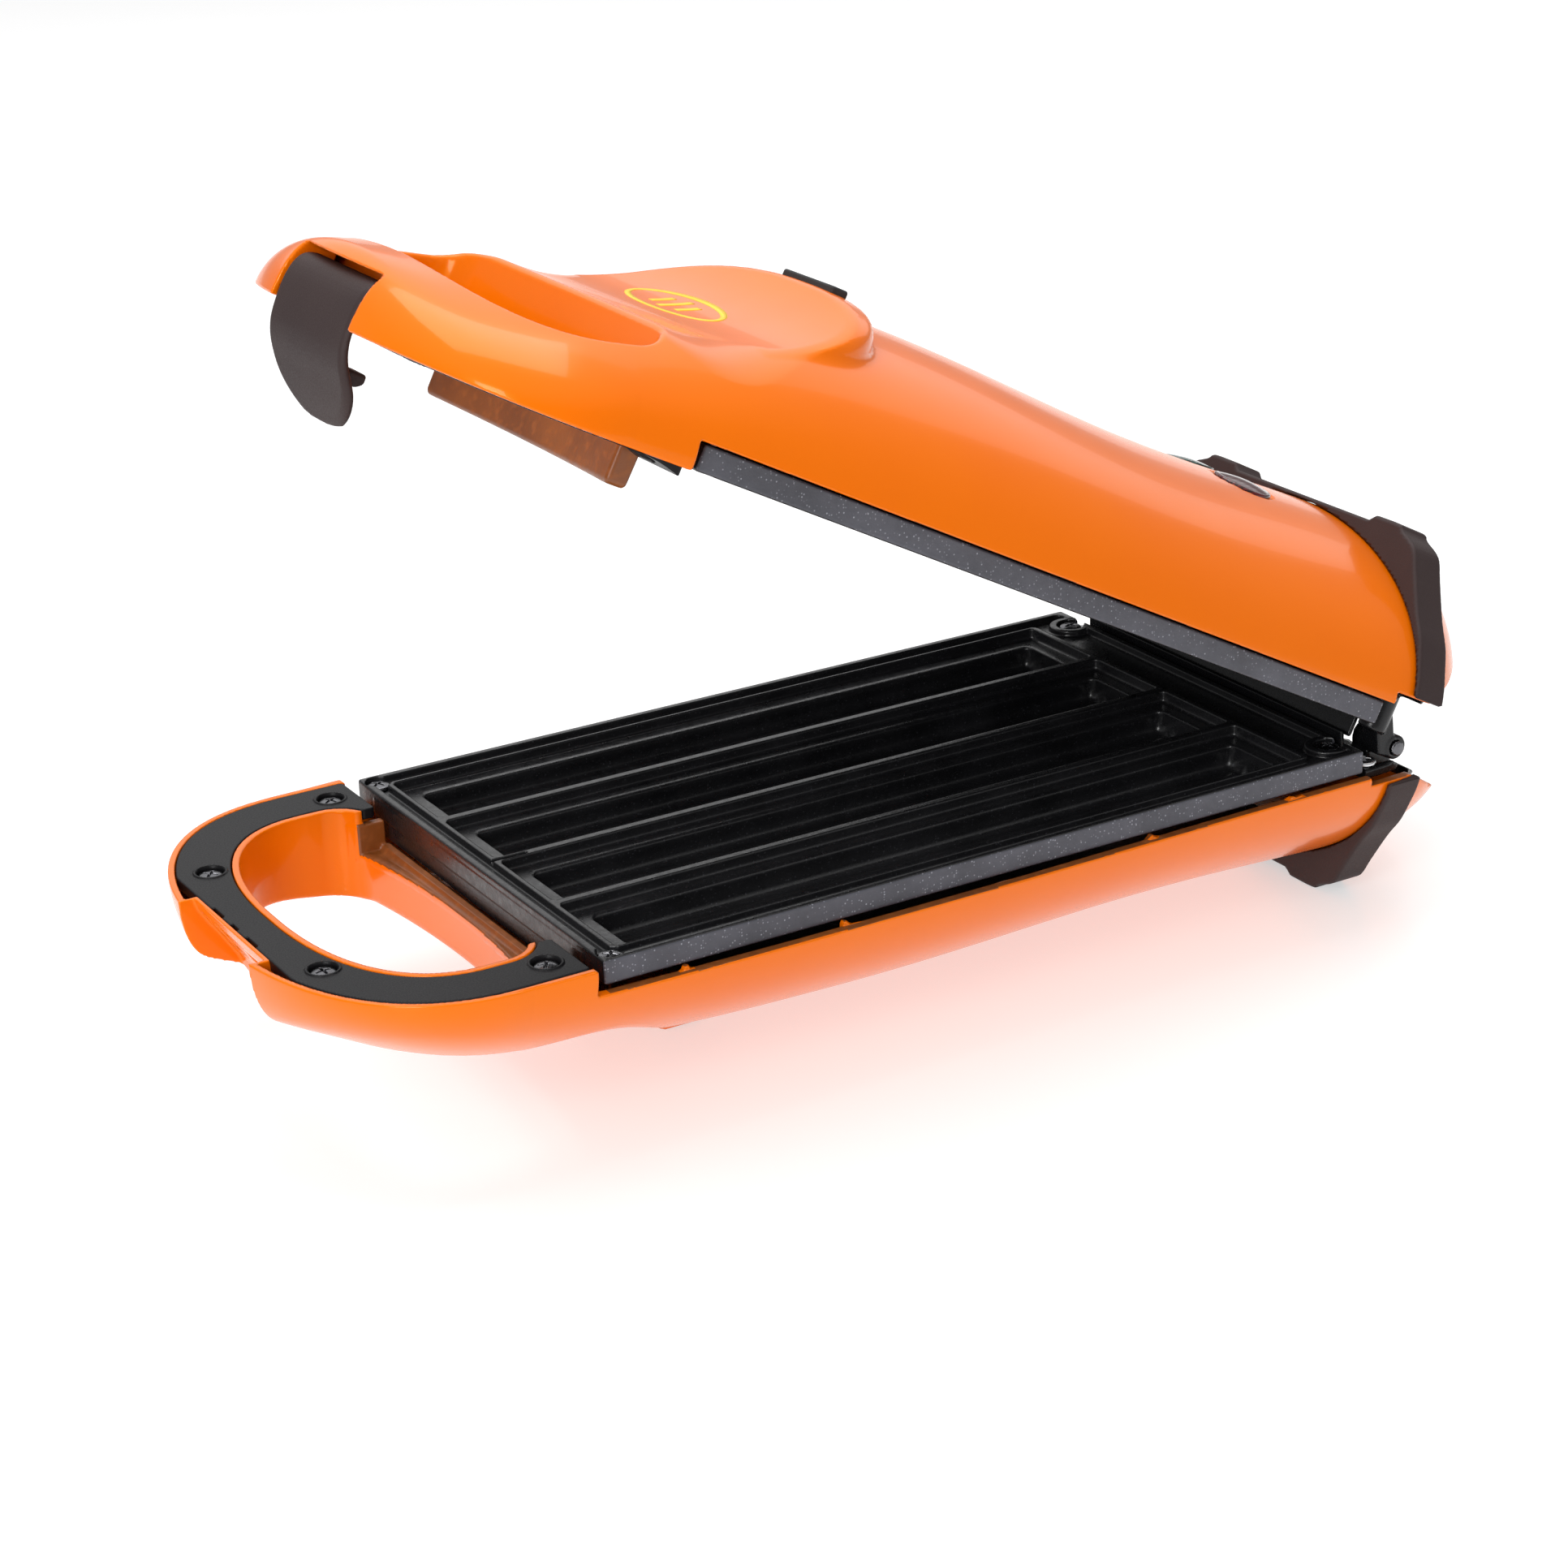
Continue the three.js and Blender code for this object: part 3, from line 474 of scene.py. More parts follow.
# ---- the housings ----
# the outline in plan: a rounded nose from TIP to NOSE, nearly straight sides, then a rounded tail
TIP, NOSE, SIDE, POWER = -71.4, -20.0, 73.2, 2.4
TAIL_X, TAIL_LENGTH = 236, 51.3
TIP_ROUND = 7.5
WALL = 3.0
side_width = spline([
    (-20, 73.2), (10, 74.2), (50, 74.9), (95, 75.1), (150, 74.4), (200, 73.3), (236, 73)])
crown_height = spline([
    (-72, 17.6), (-66, 18.6), (-60, 20), (-55, 21.3), (-50, 23), (-40, 26.8), (-30, 30.6), (-15, 35.5),
    (0, 39.8), (20, 43.6), (40, 45.6), (62, 46.6), (90, 47.2), (120, 46.7), (155, 45.8), (190, 46.4),
    (215, 47.8), (236, 49), (250, 49.5), (290, 50)])


def half_width(x, tail_power):
    """Half the housing's width; a higher tail_power makes a squarer tail."""
    share = np.clip((NOSE - x) / (NOSE - TIP), 0, 0.9999)
    tail = np.clip(1 - (np.maximum(x - TAIL_X, 0) / TAIL_LENGTH) ** tail_power, 1e-6, 1) ** (1 / tail_power)
    return side_width(x) * (1 - share ** POWER) ** (1 / POWER) * tail


def height(x, swell):
    """The crown's height above the parting plane; swell is added beside the finger hole."""
    nose = np.clip((TIP + TIP_ROUND - x) / TIP_ROUND, 0, 0.9999)
    tail = np.clip(np.maximum(x - TAIL_X, 0) / TAIL_LENGTH, 0, 0.9999)
    crown = crown_height(x) + swell * np.exp(-((x + 30) / 28) ** 2)
    return crown * (1 - nose ** 2.5) ** 0.4 * (1 - tail ** 3.5) ** (1 / 3.5)


def body(x, y, z, tail_power=2.0, swell=0.0):
    """Distance to a housing's skin, half an ellipse in section; by default with neither half's own swell."""
    h = 0.02
    w = half_width(x, tail_power)
    b = height(x, swell)
    dw = (half_width(x + h, tail_power) - half_width(x - h, tail_power)) / (2 * h)
    db = (height(x + h, swell) - height(x - h, swell)) / (2 * h)
    z = np.maximum(z, 0)
    q = np.maximum(np.sqrt((y / w) ** 2 + (z / b) ** 2), 1e-6)
    gx = (y * y * dw / w ** 3 + z * z * db / b ** 3) / q
    gy, gz = y / (w * w * q), z / (b * b * q)
    skin = (q - 1) / np.sqrt(gx ** 2 + gy ** 2 + gz ** 2 + 1e-9)
    return rmax(skin, TIP + 0.4 - x, 0.8)


def bow(x, y, centre, front, half):
    """Distance to a rounded front outline in plan."""
    def radius(x, y):
        reach = (np.maximum(centre - x, 0) / (centre - front)) ** POWER
        return (reach + (np.abs(y) / half) ** POWER) ** (1 / POWER) - 1
    h = 0.05
    gx = (radius(x + h, y) - radius(x - h, y)) / (2 * h)
    gy = (radius(x, y + h) - radius(x, y - h)) / (2 * h)
    return radius(x, y) / np.sqrt(gx ** 2 + gy ** 2 + 1e-7)


def plan(x, y):
    """Distance to the housing's outline round the finger hole, in plan."""
    return bow(x, y, NOSE, TIP, SIDE)


def hole(x, y):
    """Distance to the finger hole's outline in plan, with a bowed rear edge; negative inside the hole."""
    rear = x + 8.9 - 4.4 * (1 - np.clip(y / 50, -1, 1) ** 2)
    return rmax(bow(x, y, -22.0, -53.6, 54.7), rear, 9)


HALVES = {
    "lower": dict(rim=0.6, side_rim=7.9, trim=0.6, tail=2.5, swell=4.3, scoop=(-8, 87.1, 61.1)),
    "upper": dict(rim=0.0, side_rim=7.2, trim=-0.3, tail=2.0, swell=-1.2, scoop=(-4, 110.8, 83.0)),
}
NUBS = (21.5, 66.6, 112.5, 159, 206)
# the recess for the latch in the base's tip, seen from the side
POCKET = [(-80, -5), (-66.6, -5), (-66.6, -1), (-65.4, 3.3), (-63.0, 7.3), (-60.5, 10.9), (-58.0, 14.9),
          (-55.4, 18.9), (-55.4, 30), (-80, 30)]
GLAND_Z = 36
LENS_X, LENS_Y = 204, 13
BANK_POWER, BANK_HALF, BANK_BASE, BANK_RISE = 2.4, 50, 30, 20.9
COLLAR_X, COLLAR_LENGTH, COLLAR_HALF = 20, 41, 52


def hump(x, y, z, half):
    """The raised pad behind the scoop: a rounded bank on the lid, a plain foot on the base."""
    if half == "lower":
        return box(x, y, z, 36, 59, -20, 20, 30, 50.8, 1.6)
    across = np.clip(np.abs(y) / BANK_HALF, 1e-4, None) ** BANK_POWER
    up = np.clip((z - BANK_BASE) / BANK_RISE, 1e-4, None) ** BANK_POWER
    bank = ((across + up) ** (1 / BANK_POWER) - 1) * BANK_RISE
    along = np.clip((x - COLLAR_X) / COLLAR_LENGTH, 1e-4, None) ** 3
    collar = (along + np.clip(np.abs(y) / COLLAR_HALF, 1e-4, None) ** 3) ** (1 / 3)
    return rmax(rmax(bank, (collar - 1) * COLLAR_LENGTH, 2.6), COLLAR_X - x, 0.5)


def shell(x, y, z, half):
    """A housing: hollow, open at the parting plane, with its finger hole and the channel for the trim."""
    facts = HALVES[half]
    sx, sz, radius = facts["scoop"]
    skin = rmin(body(x, y, z, facts["tail"], facts["swell"]), hump(x, y, z, half), 1.6)
    soft = 1.2 + 5.5 * np.exp(-((x - 8) / 17) ** 2)
    skin = rmax(skin, radius - np.hypot(x - sx, z - sz), soft)
    gap = hole(x, y)
    room = np.maximum(skin + WALL, 2.2 - gap)
    skin = rmax(skin, -gap, 1.8)
    # the rim steps back beside the plate, again at the hinge, and slopes away under the tail
    rim = rmin(rmax(facts["rim"] - z, x + 3.2, 0.8), facts["side_rim"] - z, 0.8)
    rim = rmax(rim, -rmax(232 - x, z - 10.4, 0.5), 0.5)
    rim = rmax(rim, (10.4 + 0.62 * (x - 246) - z) / 1.177, 0.5)
    solid = rmax(skin, rim, 0.55)
    solid = cut(solid, room, 0.3)
    channel = rmax(plan(x, y) + 1.8, 1.9 - gap, 0.2)
    channel = rmax(channel, np.maximum(x + 3.7, z - facts["trim"] - 3.3), 0.2)
    solid = cut(solid, channel, 0.3)
    details = lower_details if half == "lower" else upper_details
    return details(x, y, z, solid, gap)


def lower_details(x, y, z, solid, gap):
    """The sunken ledge behind the finger hole, the latch recess at the tip, nubs and the gland's bore."""
    solid = cut(solid, box(x, y, z, -20, 1.5, -49.6, 49.6, -9, 12.6, 0.8), 0.7)
    floor = box(x, y, z, -14, -0.7, -50.5, 50.5, 12.6, 14.6, 0.4)
    ridge = polygon(x, z, [(-4.4, 13.5), (-3.0, 11.3), (-0.7, 11.0), (-0.7, 13.5)])
    ridge = rmax(ridge, np.abs(y) - 49.6, 0.4)
    step = box(x, np.abs(y), z, -12, -1.9, 49.2, 52, 4.6, 14, 0.5)
    solid = rmin(solid, rmax(rmin(rmin(floor, ridge, 0.6), step, 0.5), -gap, 0.3), 0.5)
    back = rmax(polygon(x - 1.2, z, POCKET), np.abs(y) - 23, 0.5)
    pocket_wall = rmax(rmax(back, body(x, y, z), 0.4), 0.6 - z, 0.3)
    pocket = rmax(polygon(x, z, POCKET), np.abs(y) - 21.8, 0.8)
    solid = cut(rmin(solid, pocket_wall, 0.2), pocket, 0.5)
    solid = cut(solid, box(x, np.abs(y), z, -72, -55.8, 5.4, 14.6, 5.0, 12.6, 0.4), 0.3)
    for nub in NUBS:
        solid = rmin(solid, box(x, np.abs(y), z, nub - 1.2, nub + 1.2, 69.2, 71.2, 6.9, 10, 0.3), 0.3)
    return cut(solid, rmax(disc(y, z, 0, GLAND_Z, 5.35), 250 - x, 0.1), 0.3)


def upper_details(x, y, z, solid, gap):
    """The block that drops on to the base's ledge, the latch slot at the tip and the bores for the lenses."""
    block = rmax(box(x, y, z, -8.4, -1.2, -48.6, 48.6, -10.8, 6, 1.6), 0.1 - gap, 1.2)
    block = rmax(block, x + 1.2 - 0.06 * (z - 3), 1.2)
    solid = rmin(solid, block, 0.6)
    solid = cut(solid, box(x, y, z, -85, -58.2, -21.6, 21.6, -8, 14.7, 1.4), 0.6)
    cheek = box(x, np.abs(y), z, -68.6, -57.6, 21.6, 26, 0.2, 16, 0.6)
    solid = rmin(solid, rmax(cheek, body(x, y, z) + 0.5, 0.4), 0.3)
    return cut(solid, rmax(disc(x, np.abs(y), LENS_X, LENS_Y, 8.7), 30 - z, 0.1), 0.5)


def between(value, low, high):
    return (value > low) & (value < high)


def painted_shade_faces(half):
    """Picks the faces painted a darker orange as the shade between the halves: the rim beside the plate, and
    the end of the ledge or the block.
    """
    def pick(c, n):
        x, side, z = c[:, 0], np.abs(c[:, 1]), c[:, 2]
        rim = (n[:, 2] < -0.8) & between(z, 6, 16) & (x > 0)
        if half == "lower":
            return rim | ((side < 52) & between(x, -9.6, 2) & between(z, 4.2, 12.95))
        return rim | ((side < 50) & (x > -9) & (z < -0.3))
    return pick


def field_piece(name, half, f, axes, materials, pick=None, body=None):
    """A mesh of a field; `pick` tells from face centres and directions which take the second material."""
    p, q, n = nets(f, *axes)
    index = pick(p[q].mean(1), n[q].mean(1)) if pick else None
    return add_mesh(name, half, p, q, n, materials, index, body)


SHELL_X = ((-2, 0.5), (16, 0.9), (66, 1.4), (226, 3.0), (290, 1.0))
SHELL_Y = lines(-77, (-46, 0.65), (46, 1.0), (77, 0.65))
for half in HALVES:
    low = -1.2 if half == "lower" else -11.6
    axes = lines(-73, *SHELL_X), SHELL_Y, lines(low, (10, 0.5), (18, 0.8), (54, 1.2))
    # the second material is the painted shade on the faces between the halves
    piece = field_piece(half + "_shell", half, lambda x, y, z, h=half: shell(x, y, z, h), axes,
                        (ORANGE, SHADED_ORANGE), painted_shade_faces(half))
    fitted(piece, "orange_plastic", half + "_housing")

# ---- grip trims ----
GRIP_SCREWS = [(-11.4, 62.2), (-56.5, 34.9)]
PLATE_SCREWS = [(4.0, 65.6), (226.0, 59.5)]
TRIM_THICK = 3.0
TRIM_FRONT = -65.0
TRIM_NOTCHES = ((-2, 2), (7.2, 13.8), (-13.8, -7.2))


def trim(x, y, z):
    """The black trim round the finger hole, with its face at z = 0."""
    gap = hole(x, y)
    outline = rmax(plan(x, y) + 2.1, 2.2 - gap, 0.4)
    outline = rmax(outline, x + 4.0, 1.2)
    outline = rmax(outline, -pane(x, y, -14, 9, -50.3, 50.3, 2.0), 1.0)
    outline = rmax(outline, TRIM_FRONT - x, 0.5)
    for y0, y1 in TRIM_NOTCHES:
        outline = rmax(outline, -pane(x, y, -80, -64.1, y0, y1, 0.3), 0.3)
    solid = rmax(outline, np.abs(z - TRIM_THICK / 2) - TRIM_THICK / 2, 0.4)
    for sx, sy in GRIP_SCREWS:
        r = np.hypot(x - sx, np.abs(y) - sy)
        solid = cut(solid, rmax(r - 3.5, z - 1.9, 0.2), 0.3)
        ring = np.hypot(r - 4.05, z) - 0.42
        solid = cut(rmin(solid, ring, 0.15), r - 1.8, 0.1)
    return solid


def trim_face(half, x):
    """Height of the trim's face: level on the base, and dipping towards the plate on the lid."""
    dip = 2.1 * np.clip((x + 17) / 13, 0, 1) ** 2 if half == "upper" else 0 * x
    return HALVES[half]["trim"] - dip


trim_mesh = nets(trim, lines(-70, (-3.5, 0.5)), lines(-72.5, (72.5, 0.5)), lines(-0.9, (3.6, 0.4)))
for half in HALVES:
    p, q, n = trim_mesh
    slope = (trim_face(half, p[:, 0] + 0.1) - trim_face(half, p[:, 0] - 0.1)) / 0.2
    p = p + np.stack([0 * slope, 0 * slope, trim_face(half, p[:, 0])], 1)
    n = n - np.stack([slope * n[:, 2], 0 * slope, 0 * slope], 1)
    piece = add_mesh(half + "_trim", half, p, q, n / np.linalg.norm(n, axis=1, keepdims=True), (BLACK,))
    fitted(piece, "black_plastic", half + "_grip_insert")

# ---- grill plates ----
PLATE_FACE, PLATE_LENGTH, PLATE_HALF, PLATE_THICK = 0.15, 230.0, 69.9, 6.6
LANE_PITCH = 32.2
# each trough is half a star in section: its mean radius, how far its flutes swing, and their number
STAR_RADIUS, STAR_SWING, FLUTES = 12.2, 1.4, 8


def grill_plate(x, y, z):
    """A cast plate: four round-backed troughs inside a thin lip, a front wall and screw bosses."""
    side = np.abs(y)
    lane = np.abs(side - LANE_PITCH) - LANE_PITCH / 2
    slab = box(x, y, z, 0, PLATE_LENGTH, -PLATE_HALF, PLATE_HALF, PLATE_FACE, PLATE_FACE + PLATE_THICK, 0.7)
    slab = cut(slab, box(x, y, z, 3, 227, -66.9, 66.9, 4.9, 12, 0.6), 0.5)
    slab = rmin(slab, box(x, y, z, 0, 2.4, -60, 60, 2, 11.8, 0.6), 0.5)
    depth = z - PLATE_FACE
    troughs = rmax(np.hypot(lane, depth) - 15.6, np.abs(x - 113) - 109, 1.5)
    slab = rmin(slab, rmax(troughs, PLATE_FACE + 2 - z, 0.3), 1.0)
    # the moat inside the outer lip, and the flat floor behind the troughs
    lip = pane(x, y, 2.1, 227.9, -67.8, 67.8, 2.2)
    bank = pane(x, y, 5.3, 216.4, -64.0, 64.0, 2.0)
    moat = rmax(rmax(lip, -bank, 0.4), z - 2.4, 0.5)
    slab = cut(slab, moat, 0.45)
    # thin rims round each trough stand a little lower than the lip, with a groove along the centre
    slab = rmax(slab, -rmax(bank, z - PLATE_FACE - 0.35, 0.2), 0.3)
    seam = rmax(side - 0.55, z - PLATE_FACE - 1.4, 0.3)
    slab = cut(slab, rmax(seam, np.maximum(bank - 2, -bank - 10), 0.3), 0.3)
    pan = rmax(pane(x, lane, 6.9, 214.8, -14.7, 14.7, 1.6), z - PLATE_FACE - 3.6, 0.9)
    slab = cut(slab, pan, 0.5)
    angle = np.arctan2(depth, lane)
    star = (np.hypot(lane, depth) - STAR_RADIUS - STAR_SWING * np.cos(FLUTES * angle)) * 0.72
    star = rmax(star, np.abs(x - 111.5) - 98.5, 2.0)
    slab = cut(slab, star, 0.6)
    (fx, fy), (rx, ry) = PLATE_SCREWS
    front, rear = np.hypot(x - fx, side - fy), np.hypot(x - rx, side - ry)
    corner = rmax(front - 5.2, np.abs(z - 4.6) - 2.1, 0.4)
    slab = rmin(slab, rmax(corner, np.maximum(side - 69.3, 0.6 - x), 0.4), 0.3)
    slab = cut(slab, rmax(front - 3.45, z - 2.6, 0.3), 0.4)
    boss = rmax(rmax(rear - 6.2, np.abs(z - 3.6) - 3.0, 0.6), x - 228, 0.4)
    slab = cut(rmin(slab, boss, 0.4), rmax(rear - 4.0, z - 2.1, 0.3), 0.5)
    return cut(slab, np.minimum(front, rear) - 1.8, 0.1)


def smooth_coated(c, n):
    """Picks the smooth black coat: all but the plate's sides and rear, which are pebbled and grey."""
    out = (np.abs(c[:, 1]) > PLATE_HALF - 0.5) | (c[:, 0] > PLATE_LENGTH - 0.5)
    return ~(out & (n[:, 2] > -0.6))


plate_mesh = nets(grill_plate, lines(-0.9, (17, 0.5), (206, 6.0), (231, 0.5)), lines(-70.8, (70.8, 0.5)),
                  lines(-0.6, (17.2, 0.5)))
p, q, n = plate_mesh
plate_index = smooth_coated(p[q].mean(1), n[q].mean(1))
for half in HALVES:
    piece = add_mesh(half + "_cast_plate", half, p, q, n, (SPECKLED, COATED), plate_index)
    fitted(piece, "non_stick_aluminium", half + "_grill_plate")


# ---- screws ----
SLOT, ARM = 0.38, 2.0  # half the width and half the length of the recess's arms
HINGE_SCREW = (234.2, 65)


def screw(x, y, z):
    """A pan-head cross-recess screw with its crown at z = 0."""
    r = np.hypot(x, y)
    crown = np.hypot(r, z - 9.5) - 9.5
    head = rmax(rmax(crown, r - 3.2, 0.35), z - 1.4, 0.1)
    arm = np.minimum(pane(x, y, -SLOT, SLOT, -ARM, ARM, 0.2), pane(x, y, -ARM, ARM, -SLOT, SLOT, 0.2))
    head = cut(head, rmax(arm + 0.22 * z, z - 1.3, 0.1), 0.15)
    return rmin(head, rmax(r - 1.45, np.abs(z - 5) - 3.9, 0.3), 0.1)


screw_across = lines(-3.7, (3.7, 0.22))
screw_mesh = nets(screw, screw_across, screw_across, lines(-0.4, (2, 0.22), (9.3, 0.8)))


def add_screw(name, half, x, y, z, finish, slot, node):
    """A screw with its crown at a half-frame point, turned by chance."""
    p, q, n = screw_mesh
    a = chance.uniform(0, math.pi / 2)
    spin = np.array([[math.cos(a), math.sin(a), 0], [-math.sin(a), math.cos(a), 0], [0, 0, 1]])
    piece = add_mesh(name, half, p @ spin + np.array([x, y, z]), q, n @ spin, (finish,))
    fitted(piece, slot, node)


for half in HALVES:
    for i, (rank, side) in enumerate([(0, 1), (0, -1), (1, 1), (1, -1)], 1):
        gx, gy = GRIP_SCREWS[rank]
        px, py = PLATE_SCREWS[1 - rank]
        sunk = 0.5 if rank == 0 else 0.7
        add_screw(f"{half}_trim_screw_{i}", half, gx, side * gy, float(trim_face(half, gx)) + 0.2, DARK_STEEL,
                  "dark_steel", f"{half}_grip_screw_{i}")
        add_screw(f"{half}_cast_screw_{i}", half, px, side * py, PLATE_FACE + sunk, DARK_STEEL,
                  "dark_steel", f"{half}_plate_screw_{i}")
for label, side in (("near", -1), ("far", 1)):
    sx, sy = HINGE_SCREW
    add_screw("hinge_dome_screw_" + label, "lower", sx, side * sy, 4.7, BRIGHT_STEEL,
              "bright_steel", "hinge_screw_" + label)

# ---- foot arches ----
ARCH_LEG = [(73, 10.7), (71.3, 15.3), (68.9, 20), (65.8, 25.6), (62.6, 29.6), (59.4, 33.8), (56.1, 38.6),
            (52.9, 43.4), (50.6, 47), (48.6, 48.6), (46.7, 49.5), (44.4, 50.4), (42.5, 51.6), (40.8, 52.4),
            (31.2, 52.4)]
ARCH_SIDE = curve_points(ARCH_LEG, 3) + [(29.8, 51.2), (28.8, 50.5)]
ARCH = ARCH_SIDE + [(-a, b) for a, b in reversed(ARCH_SIDE)]


def arch(x, y, z):
    """A band over the tail's skin, with a foot at either side."""
    band = rmax(polygon(y, z, ARCH), np.abs(x - 242.5) - 5.4, 0.9)
    return rmax(band, 0.3 - body(x, y, z), 0.2)


arch_mesh = nets(arch, lines(236.4, (248.6, 0.6)), lines(-74, (74, 0.8)), lines(9.8, (53.2, 0.8)))
for half in HALVES:
    p, q, n = arch_mesh
    fitted(add_mesh(half + "_arch", half, p, q, n, (BROWN,)), "brown_black_plastic", half + "_foot_arch")


# ---- hinge: decks over both tails, legs, pins ----
SPLASH_HALF = 57.9
EYE_RADIUS, PIN_BORE = 3.9, 2.1


def deck(x, y, z):
    """A thin lid over the tail's hollow, level behind the plate and then sloping away."""
    under = (6.5 + 0.62 * np.maximum(x - 242, 0) - z) / 1.1
    slab = rmax(rmax(under, -under - 2.9, 0.3), 231.7 - x, 0.5)
    return rmax(slab, body(x, y, z) + WALL + 0.5, 0.3)


def hinge_cover(x, y, z):
    """The base's deck with a low wall, slots for the legs, two ears on the hinge's axis and screw seats."""
    side = np.abs(y)
    solid = cut(deck(x, y, z), pane(x, side, 237, 251.5, 59.0, 66.6, 0.4), 0.4)
    solid = rmin(solid, box(x, y, z, 231.75, 233.15, -SPLASH_HALF, SPLASH_HALF, -1.15, 8, 0.4), 0.4)
    eye = disc(x, z, HINGE_X, -HINGE_Z, EYE_RADIUS)
    stem = rmin(eye, pane(x, z, HINGE_X - EYE_RADIUS, HINGE_X + EYE_RADIUS, -HINGE_Z, 11, 0.3), 0.2)
    ear = rmax(stem, np.abs(side - 55.55) - 3.5, 0.6)
    solid = rmin(solid, ear, 0.8)
    solid = cut(solid, disc(x, z, HINGE_X, -HINGE_Z, PIN_BORE), 0.1)
    seat = rmax(disc(x, side, *HINGE_SCREW, 3.9), z - 6.7, 0.2)
    solid = cut(solid, rmax(disc(x, side, *HINGE_SCREW, 1.8), z - 12, 0.1), 0.1)
    return cut(cut(solid, seat, 0.3), disc(y, z, 0, GLAND_Z, 5.9), 0.2)


def tail_cover(x, y, z):
    """The lid's deck with a low wall and notches that the legs pass through."""
    notch = pane(x, np.abs(y), 220, 246, 59.0, 90, 0.8)
    wall = box(x, y, z, 234.05, 235.45, -SPLASH_HALF, SPLASH_HALF, -5.85, 8, 0.4)
    return rmin(cut(deck(x, y, z), notch, 0.5), wall, 0.4)


DECK_X, DECK_Y = lines(231, (290, 0.9)), lines(-72, (72, 0.8))
for name, half, f, low, node in (
        ("hinge_cover", "lower", hinge_cover, -1.8, "hinge_block"),
        ("tail_cover", "upper", tail_cover, -6.4, "rear_cover")):
    axes = DECK_X, DECK_Y, lines(low, (6, 0.6), (40, 1.0))
    fitted(field_piece(name, half, f, axes, (GLOSS_BLACK,)), "black_plastic", node)

LEG_Y, LEG_HALF = 62.75, 3.2
LEG_SIDE = [(229.5, 13), (231.1, 5), (239.6, -7.4), (243, -7.2), (244.6, -4.4), (236.6, 7.6), (235.5, 13)]


def leg(x, y, z):
    """The lid's far leg, from inside the lid down to the hinge's axis."""
    bar = rmax(polygon(x, z, LEG_SIDE), np.abs(y - LEG_Y) - LEG_HALF, 0.7)
    eye = rmax(disc(x, z, HINGE_X, HINGE_Z, 3.4), np.abs(y - LEG_Y) - LEG_HALF, 0.6)
    boss = rmax(disc(x, y, 234.7, 64.2, 3.9), np.abs(z - 4) - 5.6, 0.8)
    return cut(rmin(rmin(bar, eye, 0.8), boss, 0.6), disc(x, z, HINGE_X, HINGE_Z, PIN_BORE), 0.1)


def pin(x, y, z):
    """A rivet along y with a domed outer head."""
    r = np.hypot(x - HINGE_X, z - HINGE_Z)
    head = rmax(np.hypot(r, y - 62.6) - 4.6, 66.35 - y, 0.1)
    return rmin(rmax(r - 1.95, np.abs(y - 58.8) - 8.2, 0.3), rmax(head, r - 2.4, 0.3), 0.15)


MIRROR = np.array([1, -1, 1])
leg_axes = lines(228.6, (250.2, 0.5)), lines(58.9, (68.8, 0.5)), lines(-9.6, (13.8, 0.5))
pin_axes = lines(240.4, (248.4, 0.35)), lines(50, (68.2, 0.5)), lines(-8, (0.3, 0.35))
for name, f, axes, finish, slot, node, home in (
        ("hinge_arm", leg, leg_axes, GLOSS_BLACK, "black_plastic", "hinge_leg", "lid"),
        ("hinge_rivet", pin, pin_axes, DARK_STEEL, "dark_steel", "hinge_pin", "base")):
    p, q, n = nets(f, *axes)
    far = add_mesh(name + "_far", "upper", p, q, n, (finish,), body=home)
    fitted(far, slot, node + "_far")
    near = add_mesh(name + "_near", "upper", p * MIRROR, q[:, ::-1], n * MIRROR, (finish,), body=home)
    fitted(near, slot, node + "_near")

# ---- latch: its outline from the side, and from the front with rounded lower corners ----
LATCH_OUTER = curve_points([
    (-63.3, 13.1), (-67.0, 11.8), (-69.1, 8), (-69.7, 3), (-69.5, -2.5), (-68.8, -6.1),
    (-67.3, -9.5), (-65.1, -12.8), (-63.0, -16), (-60.5, -19.4), (-57.6, -23)])
LATCH_INNER = curve_points([
    (-56.2, -21.6), (-58.8, -17.6), (-61.3, -13.6), (-63.8, -10), (-66.2, -6), (-67.4, -1.5),
    (-67.3, 2.5), (-66.4, 6.4)])
LATCH_SIDE = LATCH_OUTER + LATCH_INNER + [(-60.3, 6.4), (-60.3, 10.0), (-61.5, 12.0)]
LATCH_CORNER = curve_points([
    (20.8, -10), (20.4, -13.6), (18, -17.4), (13.4, -20.8), (7, -23.1), (0, -23.8)], 4)
LATCH_END = [(20.8, 14)] + LATCH_CORNER + [(-a, b) for a, b in reversed(LATCH_CORNER[:-1])] + [(-20.8, 14)]


def lever(x, y, z):
    """The latch: a curved tongue on its pin, with two hooks behind it."""
    solid = rmax(polygon(x, z, LATCH_SIDE), polygon(y, z, LATCH_END), 1.5)
    hook = box(x, np.abs(y), z, -64.4, -57, 6, 14, -12, -8.4, 0.8)
    hook = cut(hook, polygon(x, z, [(-60, -12.8), (-56, -12.8), (-56, -9.8)]), 0.3)
    return cut(rmin(solid, hook, 0.3), disc(x, z, -63.5, 9, 1.6), 0.1)


axes = lines(-70.6, (-54.8, 0.42)), lines(-21.6, (21.6, 0.6)), lines(-24.4, (14.2, 0.45))
piece = field_piece("latch_lever", "upper", lever, axes, (BROWN,), body="latch")
fitted(piece, "brown_black_plastic", "latch")


# ---- pads, lenses, gland ----
def pad(x0, x1, half_length):
    """A rubber pad with a fine line round its face."""
    def f(x, y, z):
        block = box(x, y, z, x0, x1, -half_length, half_length, 50.0, 52.45, 0.7)
        inner = pane(x, y, x0 + 1.2, x1 - 1.2, 1.2 - half_length, half_length - 1.2, 0.8)
        return cut(block, rmax(np.abs(inner) - 0.25, 52.15 - z, 0.1), 0.1)
    return f


